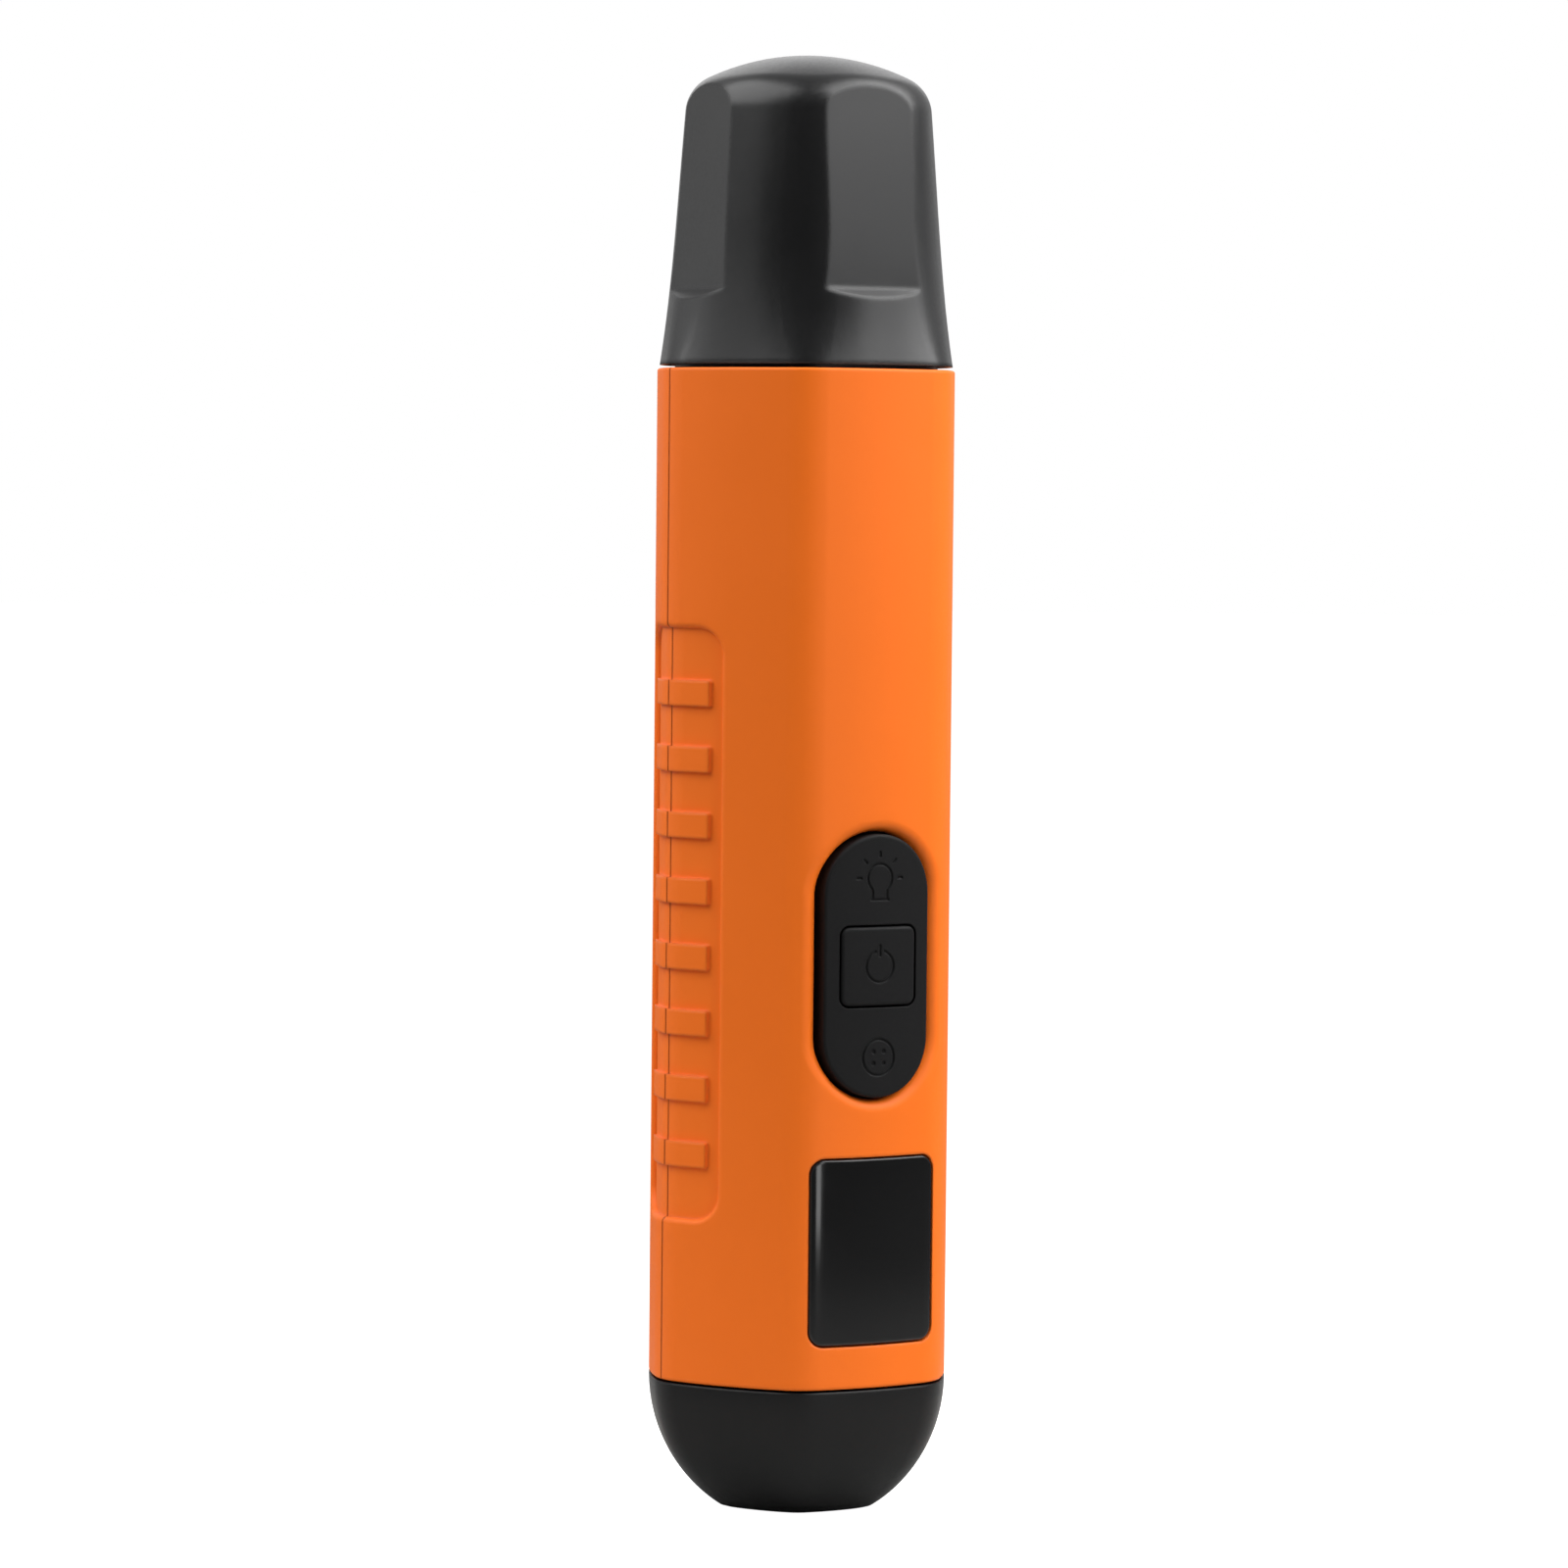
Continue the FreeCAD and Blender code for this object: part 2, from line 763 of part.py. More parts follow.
def seal_back():
    """Depth of the rear face of the silicone sheet, just clear of the switch plungers."""
    return board_front + switch_height + plunger_height + seal_gap


def keypad_seal():
    """Silicone sheet behind the keys, lifted off the switches by its edge rim."""
    back = seal_back()
    height = keypad_height - 2 * seal_margin
    width = 2 * seal_half_width
    sheet = rounded_block(width, height, seal_corner, keypad_z, back + seal_thickness, back)
    rim = rounded_block(width, height, seal_corner, keypad_z, back + seal_thickness / 2, board_front)
    inner = rounded_block(width - 2 * seal_rim, height - 2 * seal_rim, seal_corner - seal_rim, keypad_z,
                          back, 0.0)
    return single(sheet.fuse(rim.cut(inner)))


def tact_switches():
    """Three push switches under the light end, the power key and the mode end."""
    switches = []
    for z in (keypad_z + bulb_lift, keypad_z, keypad_z - mode_drop):
        side = switch_side / 2
        base = slab(-side, side, -board_front - switch_height, -board_front, z - side, z + side)
        top = -board_front - switch_height
        plunger = rod(plunger_radius, Vector(0, top, z), Vector(0, top - plunger_height, z))
        switches.append(base.fuse(plunger).removeSplitter().Solids[0])
    return group(switches)


def main_board():
    """The long circuit board behind the display and the keys."""
    board = slab(-board_half_width, board_half_width, -board_front, -board_back, board_bottom, board_top)
    for x in (-post_x, post_x):
        for z in (lower_post_z, upper_post_z):
            board = board.cut(rod(board_screw_radius + seat_fit, Vector(x, -far, z), Vector(x, 0, z)))
    return single(board)


def board_screws():
    """The screws that hold the main board to its posts."""
    screws = []
    for x in (-post_x, post_x):
        for z in (lower_post_z, upper_post_z):
            seat = Vector(x, -board_back, z)
            screws.append(pan_screw(seat, Vector(0, 1, 0), board_screw_radius,
                                    board_thickness + board_screw_length - 1.0,
                                    board_screw_head, board_screw_head_height))
    return group(screws)


def board_chips():
    """The larger packages on the rear of the main board."""
    sizes = ((0.0, 78.0, 7.0, 7.0, 1.4), (4.5, 86.0, 5.0, 4.0, 1.5), (-5.0, 87.0, 3.0, 3.0, 1.1),
             (3.5, 112.0, 4.0, 5.0, 1.5), (-5.0, 70.0, 2.0, 4.5, 1.6))
    chips = []
    for x, lift, width, height, depth in sizes:
        z = body_base + lift
        chips.append(slab(x - width / 2, x + width / 2, -board_back, -board_back + depth,
                          z - height / 2, z + height / 2))
    return group(chips)


def board_passives():
    """Small resistors and capacitors in two rows on the rear of the main board."""
    parts = []
    for row in (-8.6, 8.6):
        for number in range(7):
            z = body_base + 70.0 + 4.0 * number
            parts.append(slab(row - 0.4, row + 0.4, -board_back, -board_back + 0.7, z - 0.8, z + 0.8))
    return group(parts)


def buzzer():
    """Round sounder with a small port in its face."""
    z = body_base + buzzer_lift
    can = rod(buzzer_radius, Vector(0, -board_back, z), Vector(0, -board_back + buzzer_height, z))
    port = rod(buzzer_port, Vector(0, -board_back + buzzer_height - 1.0, z),
               Vector(0, -board_back + buzzer_height + 1.0, z))
    return single(can.cut(port))


def board_link():
    """Pin header that joins the main board to the nose board."""
    high = board_top - header_drop + header_side
    half = header_pins * header_pitch / 2
    block = slab(-half, half, -board_back, -board_back + header_side, high - header_side, high)
    pins = []
    y = -board_back + header_side / 2
    for number in range(header_pins):
        x = (number - (header_pins - 1) / 2) * header_pitch
        end = plug_base - seat_fit - nose_board_thickness
        pins.append(rod(pin_wire, Vector(x, y, high - 0.5), Vector(x, y, end)))
    return single(block.fuse(pins))


def tail_form(inset, floor):
    """Rounded tail: the body's section shrinking along an elliptical profile down to a flat end."""
    drop = tail_top / math.sqrt(1 - (foot_radius / half_across) ** 2) - inset
    deepest = math.asin((tail_top - floor) / drop)
    sections = []
    for number in range(tail_sections):
        turn = deepest * (1 - number / (tail_sections - 1))
        sections.append(soft_hexagon(inset, tail_top - drop * math.sin(turn), math.cos(turn)))
    return Part.makeLoft(sections, True, False)


def tail_cap():
    """Hollow end cap with a spigot that slides into the body and a column for the sled."""
    outer = tail_form(0.0, 0.0)
    foot = edges_between(outer, -0.01, 0.01)
    outer = outer.makeChamfer(foot_edge, foot)
    cap = outer.cut(tail_form(tail_wall, tail_floor))
    fit = shell_wall + slide_fit
    top = tail_top + spigot_height
    spigot = hex_ring(fit, fit + spigot_wall, tail_top - 2.0, top)
    shoulder = hex_ring(tail_wall - rib_root, fit + spigot_wall, tail_top - 2.0, tail_top)
    low = tail_top + tail_joint_gap + 1.0
    groove = hex_ring(0.0, fit + gasket_depth, low, low + gasket_height)
    column = rod(post_column_radius, Vector(0, cell_back, tail_floor - 0.5), Vector(0, cell_back, sled_base))
    pilot = rod(screw_radius + thread_fit, Vector(0, cell_back, sled_base - screw_reach),
                Vector(0, cell_back, sled_base + 1.0))
    return single(cap.fuse([spigot, shoulder, column]).cut([groove, pilot]))


def tail_gasket():
    """Rubber ring in the spigot's groove."""
    low = tail_top + tail_joint_gap + 1.0 + seat_fit
    fit = shell_wall + slide_fit
    return hex_ring(shell_wall + seat_fit, fit + gasket_depth - seat_fit, low,
                    low + gasket_height - 2 * seat_fit)


def cell_axis(side, z):
    """A point on the axis of the left (-1) or right (1) cell."""
    return Vector(side * cell_spacing / 2, cell_back, z)


def battery_sled():
    """Open cradle for two cells side by side, with end walls for their contacts."""
    radius = cell_radius + cell_clearance
    shape = slab(-cell_spacing / 2, cell_spacing / 2, cell_back - radius - sled_wall, cell_back + sled_open,
                 sled_base, sled_end)
    for side in (-1, 1):
        shape = shape.fuse(rod(radius + sled_wall, cell_axis(side, sled_base), cell_axis(side, sled_end)))
    shape = shape.common(hex_prism(shell_wall + slide_fit + spigot_wall + sled_side_gap, sled_base, sled_end))
    shape = shape.cut(slab(-far, far, cell_back + sled_open, far, sled_base + sled_floor, sled_roof))
    for side in (-1, 1):
        bore = rod(radius, cell_axis(side, sled_base + sled_floor), cell_axis(side, sled_roof))
        shape = shape.cut(bore)
    middle = slab(-cell_spacing / 2, cell_spacing / 2, cell_back, far, sled_base + sled_floor, sled_roof)
    shape = shape.cut(middle)
    bridge_slot = slab(-cell_spacing / 2, cell_spacing / 2, cell_back - plate_half_width - seat_fit, far,
                       sled_base + sled_floor, sled_base + sled_floor + plate_thickness + seat_fit)
    shape = shape.cut(bridge_slot)
    hole = rod(screw_hole_radius, Vector(0, cell_back, sled_base - 1.0), Vector(0, cell_back, sled_end))
    window = slab(-head_recess_radius, head_recess_radius, cell_back - head_recess_radius, far,
                  sled_base + sled_floor, sled_base + sled_floor + 2 * screw_head_height)
    return single(shape.cut([hole, window]))


def sled_screw():
    """The screw that fastens the sled to the tail cap's column."""
    seat = Vector(0, cell_back, sled_base + sled_floor)
    return pan_screw(seat, Vector(0, 0, 1), screw_radius, sled_floor + screw_reach - 1.0,
                     screw_head_radius, sled_screw_head)


def battery_cells():
    """Two standard cells, one each way up."""
    cells = []
    for side in (-1, 1):
        low = contact_floor + (spring_length if side < 0 else 0.0)
        can_low = low + (0.0 if side < 0 else nub_length)
        can_high = can_low + cell_length - nub_length
        can = rod(cell_radius, cell_axis(side, can_low), cell_axis(side, can_high))
        can = can.makeFillet(0.5, can.Edges[:1] + can.Edges[2:])
        if side < 0:
            nub = rod(nub_radius, cell_axis(side, can_high - 0.5), cell_axis(side, can_high + nub_length))
        else:
            nub = rod(nub_radius, cell_axis(side, can_low - nub_length), cell_axis(side, can_low + 0.5))
        cells.append(single(can.fuse(nub)))
    return group(cells)


def contact_springs():
    """Wire springs at the flat end of each cell."""
    springs = []
    for side in (-1, 1):
        low = contact_floor if side < 0 else contact_roof - spring_length
        rise = spring_length - 2 * spring_wire - 2 * seat_fit
        helix = Part.makeHelix(rise / spring_turns, rise, spring_radius)
        circle = Part.makeCircle(spring_wire, Vector(spring_radius, 0, 0), Vector(0, 1, 0))
        coil = Part.Wire(helix.Edges).makePipeShell([Part.Wire([circle])], True, True)
        coil.translate(cell_axis(side, low + spring_wire + seat_fit))
        springs.append(coil)
    return group(springs)


def contact_plates():
    """Sprung steel plates: a bridge at the sled's floor and two pads that wrap over its roof."""
    half = plate_half_width
    low = sled_base + sled_floor
    gap = head_recess_radius
    bridge = slab(-cell_spacing / 2 - half, cell_spacing / 2 + half, cell_back - half, cell_back + sled_open,
                  low, low + plate_thickness)
    bridge = bridge.cut(rod(gap, Vector(0, cell_back, low - 1.0), Vector(0, cell_back, low + 1.0)))
    plates = [bridge.removeSplitter().Solids[0]]
    for side in (-1, 1):
        x = side * cell_spacing / 2
        inner = slab(x - half, x + half, cell_back - half, cell_back + sled_open, contact_roof, sled_roof)
        outer = slab(x - half, x + half, cell_back - half, cell_back + sled_open, sled_end,
                     sled_end + plate_thickness)
        plates += [inner, outer]
    return group(plates)


def battery_contacts():
    """Two leaf springs on the main board that meet the pads on the sled's roof."""
    leaves = []
    touch = sled_end + plate_thickness + leaf_gap
    for side in (-1, 1):
        x = side * cell_spacing / 2
        foot = slab(x - leaf_half_width, x + leaf_half_width, -board_back, -board_back + leaf_thickness,
                    touch, touch + 4.0)
        arm = slab(x - leaf_half_width, x + leaf_half_width, -board_back, cell_back, touch,
                   touch + leaf_thickness)
        leaves.append(foot.fuse(arm).removeSplitter().Solids[0])
    return group(leaves)


def cap_tower(inset):
    """Taper that starts as the body's section and soon turns round, drawn inside the cap's skin."""
    neck = half_across - cap_neck_inset - inset
    rise = cap_length - cap_blend
    lean = rise * math.tan(math.radians(cap_taper))
    sections = [soft_hexagon(rim_inset + inset, cap_base), soft_round(neck, cap_base + cap_blend)]
    sections.append(soft_round(neck - lean / 2, cap_base + cap_blend + rise / 2))
    sections.append(soft_round(neck - lean, cap_top))
    return Part.makeLoft(sections, True, False)


def cap_hull(inset):
    """The taper closed by its crown and rounded shoulder, before the finger flats."""
    crown = Part.makeSphere(cap_crown - inset, Vector(0, 0, cap_top - cap_crown))
    lower = slab(-far, far, -far, far, cap_base, cap_base + cap_length / 2)
    hull = cap_tower(inset).common(crown.fuse(lower))
    rim = edges_between(hull, cap_base + cap_length * 0.75, cap_top + 1.0)
    return hull.makeFillet(cap_shoulder - inset / 2, rim)


def cap_form(inset):
    """The cap's form with its finger flats, drawn inside its skin."""
    hull = cap_hull(inset)
    ledge = cap_base + flat_lift
    reach = flat_reach - inset
    rise = cap_length
    lean = rise * math.tan(math.radians(flat_tilt))
    out = cap_length / 2
    drop = out * math.tan(math.radians(ledge_slope))
    points = [Vector(0, -reach, ledge), Vector(0, -reach - out, ledge - drop),
              Vector(0, -reach - out, ledge + rise), Vector(0, -reach + lean, ledge + rise),
              Vector(0, -reach, ledge)]
    face = Part.Face(Part.makePolygon(points))
    cutter = face.extrude(Vector(across_flats, 0, 0))
    cutter.translate(Vector(-across_flats / 2, 0, 0))
    cutters = []
    for number in range(flat_count):
        turned = cutter.copy()
        turned.rotate(Vector(0, 0, 0), Vector(0, 0, 1), 360.0 * number / flat_count)
        cutters.append(turned)
    return hull.cut(cutters)


def probe_cap():
    """Pull-off cap over the probe, with an even wall."""
    outer = cap_form(0.0)
    return single(outer.cut(cap_form(cap_wall)))


def collar_form(gap, low, high):
    """A slice of the nose collar that follows the cap's inside at a gap."""
    return cap_tower(cap_wall + gap).common(slab(-far, far, -far, far, low, high))


def nose_cone(low_radius, high_radius, low, high):
    """Straight taper round the axis."""
    return Part.makeCone(low_radius, high_radius, high - low, Vector(0, 0, low))


def nose_housing():
    """Black nose: a plug in the body's top, a collar inside the cap and a tapered snout."""
    plug = hex_prism(shell_wall + seat_fit, plug_base, cap_base)
    step = hex_prism(rim_inset + cap_wall + cap_fit, body_top + thread_fit, cap_base)
    collar = collar_form(cap_fit, cap_base, collar_top)
    snout = nose_cone(nose_root, nose_neck, collar_top - 0.5, neck_z)
    shape = plug.fuse([step, collar, snout])
    low = cap_base + seal_ring_drop
    groove = hex_prism(-1.0, low, low + seal_ring_height)
    groove = groove.cut(collar_form(cap_fit + seal_ring_depth, cap_base, collar_top))
    bore = rod(nose_bore, Vector(0, 0, plug_base - 1.0), Vector(0, 0, collar_top - nose_wall))
    inside = nose_cone(nose_root - nose_wall, nose_neck - nose_wall, collar_top - nose_wall - 0.1, neck_z + 0.1)
    torch = rod(torch_radius + seat_fit, Vector(0, -torch_y, plug_base - 1.0),
                Vector(0, -torch_y, collar_top + 1.0))
    cuts = [groove, bore, inside, torch]
    for x in (-nose_screw_x, nose_screw_x):
        cuts.append(rod(board_screw_radius + thread_fit, Vector(x, 0, plug_base - 1.0),
                        Vector(x, 0, plug_base + board_screw_length)))
    return single(shape.cut(cuts))


def cap_seal():
    """Rubber ring in the collar that grips the cap."""
    low = cap_base + seal_ring_drop + seat_fit
    high = low + seal_ring_height - 2 * seat_fit
    ring = collar_form(slide_fit, low, high)
    return single(ring.cut(collar_form(cap_fit + seal_ring_depth - seat_fit, cap_base, collar_top)))


def probe_tip():
    """Translucent sensing tip with a rounded end and a plug inside the snout."""
    straight = tip_height - tip_end
    outer = nose_cone(nose_neck, tip_end, neck_z, neck_z + straight)
    outer = outer.fuse(Part.makeSphere(tip_end, Vector(0, 0, neck_z + straight)))
    plug_radius = nose_neck - nose_wall - seat_fit
    outer = outer.fuse(rod(plug_radius, Vector(0, 0, neck_z - tip_plug), Vector(0, 0, neck_z)))
    inside = nose_cone(plug_radius - tip_wall / 2, tip_end - tip_wall, neck_z - tip_plug - 0.1,
                       neck_z + straight)
    inside = inside.fuse(Part.makeSphere(tip_end - tip_wall, Vector(0, 0, neck_z + straight)))
    return single(outer.cut(inside))


def antenna_plate():
    """Thin copper sensing blade from the nose board up into the tip."""
    return slab(-antenna_half_width, antenna_half_width, antenna_back, antenna_back + antenna_thickness,
                plug_base, tip_top - antenna_drop)


def alarm_led():
    """Warning light on two legs below the translucent tip."""
    low = plug_base + led_stand
    body = rod(led_radius, Vector(0, -led_radius / 2, low), Vector(0, -led_radius / 2, low + led_body))
    dome = Part.makeSphere(led_radius, Vector(0, -led_radius / 2, low + led_body))
    legs = []
    for x in (-led_leg_spread, led_leg_spread):
        legs.append(rod(led_leg, Vector(x, -led_radius / 2, plug_base), Vector(x, -led_radius / 2, low + 0.5)))
    return single(body.fuse([dome] + legs))


def torch_lens():
    """Clear rod lens whose domed end shows beside the snout."""
    low = plug_base + torch_led_height + torch_reflector_height
    lens = rod(torch_radius, Vector(0, -torch_y, low), Vector(0, -torch_y, collar_top + torch_dome))
    rim = edges_between(lens, collar_top + torch_dome - 0.01, collar_top + torch_dome + 0.01)
    return single(lens.makeFillet(torch_dome, rim))


def torch_reflector():
    """Bright cup that gathers the torch light into the lens."""
    low = plug_base + torch_led_height + seat_fit
    high = plug_base + torch_led_height + torch_reflector_height - seat_fit
    cup = rod(torch_radius, Vector(0, -torch_y, low), Vector(0, -torch_y, high))
    hollow = Part.makeCone(torch_led_radius, torch_radius - 0.3, high - low + 0.02,
                           Vector(0, -torch_y, low - 0.01))
    return single(cup.cut(hollow))


def torch_led():
    """White light source on the nose board."""
    return rod(torch_led_radius, Vector(0, -torch_y, plug_base), Vector(0, -torch_y, plug_base + torch_led_height))


def nose_board():
    """Small round board across the lower end of the nose."""
    high = plug_base - seat_fit / 2
    disc = rod(nose_board_radius, Vector(0, 0, high - nose_board_thickness), Vector(0, 0, high))
    for x in (-nose_screw_x, nose_screw_x):
        disc = disc.cut(rod(board_screw_radius + seat_fit, Vector(x, 0, 0), Vector(x, 0, far + cap_top)))
    return single(disc)


def nose_screws():
    """The screws that hold the nose board under the nose."""
    screws = []
    for x in (-nose_screw_x, nose_screw_x):
        seat = Vector(x, 0, plug_base - seat_fit / 2 - nose_board_thickness)
        screws.append(pan_screw(seat, Vector(0, 0, -1), board_screw_radius,
                                nose_board_thickness + board_screw_length - 1.0,
                                board_screw_head, board_screw_head_height))
    return group(screws)


sub_parts = {
    "front_shell": front_shell,
    "rear_shell": rear_shell,
    "shell_screws": shell_screws,
    "display_window": display_window,
    "window_gasket": window_gasket,
    "lcd_panel": lcd_panel,
    "lcd_backlight": lcd_backlight,
    "lcd_connector": lcd_connector,
    "lcd_frame": lcd_frame,
    "function_rocker": function_rocker,
    "rocker_pins": rocker_pins,
    "power_key": power_key,
    "keypad_seal": keypad_seal,
    "tact_switches": tact_switches,
    "main_board": main_board,
    "board_screws": board_screws,
    "board_chips": board_chips,
    "board_passives": board_passives,
    "buzzer": buzzer,
    "board_link": board_link,
    "battery_contacts": battery_contacts,
    "tail_cap": tail_cap,
    "tail_gasket": tail_gasket,
    "battery_sled": battery_sled,
    "sled_screw": sled_screw,
    "battery_cells": battery_cells,
    "contact_springs": contact_springs,
    "contact_plates": contact_plates,
    "probe_cap": probe_cap,
    "nose_housing": nose_housing,
    "cap_seal": cap_seal,
    "probe_tip": probe_tip,
    "antenna_plate": antenna_plate,
    "alarm_led": alarm_led,
    "torch_lens": torch_lens,
    "torch_reflector": torch_reflector,
    "torch_led": torch_led,
    "nose_board": nose_board,
    "nose_screws": nose_screws,
}

os.makedirs("parts", exist_ok=True)
for name, make in sub_parts.items():
    shape = make()
    box = shape.BoundBox
    shape.exportStep("parts/" + name + ".step")
    print(name, len(shape.Solids), "solids", round(shape.Volume, 1), "valid", shape.isValid(),
          [round(v, 2) for v in (box.XMin, box.XMax, box.YMin, box.YMax, box.ZMin, box.ZMax)])
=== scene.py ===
"""Looks of a hand-held non contact voltage tester: finishes, battery cells, studio and camera."""
import logging
import math
from dataclasses import dataclass, field
from enum import Enum
from typing import Any

import bmesh
import bpy
from mathutils import Matrix, Vector


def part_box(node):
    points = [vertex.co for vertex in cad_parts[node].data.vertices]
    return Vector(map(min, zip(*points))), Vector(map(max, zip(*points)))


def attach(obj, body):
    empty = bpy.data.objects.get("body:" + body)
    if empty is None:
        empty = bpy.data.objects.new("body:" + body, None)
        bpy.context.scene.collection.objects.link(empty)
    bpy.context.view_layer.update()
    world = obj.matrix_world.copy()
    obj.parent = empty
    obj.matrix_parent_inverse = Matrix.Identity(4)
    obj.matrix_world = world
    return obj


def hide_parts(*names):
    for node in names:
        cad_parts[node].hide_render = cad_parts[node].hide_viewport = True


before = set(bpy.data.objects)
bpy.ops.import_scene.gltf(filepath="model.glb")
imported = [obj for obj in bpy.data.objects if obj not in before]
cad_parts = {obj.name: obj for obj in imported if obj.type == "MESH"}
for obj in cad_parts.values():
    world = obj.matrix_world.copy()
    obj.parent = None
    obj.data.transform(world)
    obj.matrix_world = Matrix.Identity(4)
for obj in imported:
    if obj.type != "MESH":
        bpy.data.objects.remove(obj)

log = logging.getLogger("tester")
MM = 0.001

# The body that the cells ride on
TAIL_BODY = "battery_tail"
# Points of a mesh that are closer than this are one point
MERGE_DISTANCE = 0.0005 * MM
# How the grain and the mottle of every finish are layered
FINE_DETAIL = 3.0
SLOW_DETAIL = 4.0
DETAIL_FALLOFF = 0.55
# The range that grain times mottle covers
SPREAD_LOW = 0.1
SPREAD_HIGH = 0.4
# How well the true normal matches the rounded one on a face and on an edge
FACE_MATCH = 0.995
EDGE_MATCH = 0.80
BEVEL_SAMPLES = 4
# How far a handled edge pales towards white and how much smoother it is
EDGE_PALE = 0.35
EDGE_POLISH = 0.12
# How deep red, green and blue light go into a cloudy plastic, against one another
DEPTH_BY_COLOUR = (1.0, 0.45, 0.2)


class Side(Enum):
    """Which way a paired piece stands from the middle, seen from the front."""

    LEFT = -1
    RIGHT = 1


def linear(colour: str) -> tuple[float, float, float, float]:
    """Turn an sRGB hex colour into linear light.

    Args:
        colour: six hex digits after a hash.

    Returns:
        Red, green, blue and a full alpha.
    """
    digits = colour.lstrip("#")
    levels = [int(digits[at:at + 2], 16) / 255 for at in (0, 2, 4)]
    light = [level / 12.92 if level <= 0.04045 else ((level + 0.055) / 1.055) ** 2.4 for level in levels]
    return (light[0], light[1], light[2], 1.0)


def toned(colour: tuple[float, ...], factor: float) -> tuple[float, float, float, float]:
    """Darken or lighten a linear colour.

    Args:
        colour: linear red, green and blue.
        factor: what each is multiplied by.

    Returns:
        The new colour with a full alpha.
    """
    return (min(1.0, colour[0] * factor), min(1.0, colour[1] * factor), min(1.0, colour[2] * factor), 1.0)


def add_node(tree: bpy.types.NodeTree, kind: str, settings: dict[Any, Any] | None = None,
             links: dict[Any, Any] | None = None) -> bpy.types.Node:
    """Add a shader node with its settings and the links into it.

    Args:
        tree: the tree that takes the node.
        kind: the node's type name.
        settings: node properties by name, or socket values by socket name or number.
        links: output sockets by the name or number of the input socket they feed.

    Returns:
        The new node.
    """
    node = tree.nodes.new(kind)
    for key, value in (settings or {}).items():
        if isinstance(key, int) or (key in node.inputs and not hasattr(type(node), key)):
            node.inputs[key].default_value = value
        else:
            setattr(node, key, value)
    for key, output in (links or {}).items():
        tree.links.new(output, node.inputs[key])
    return node


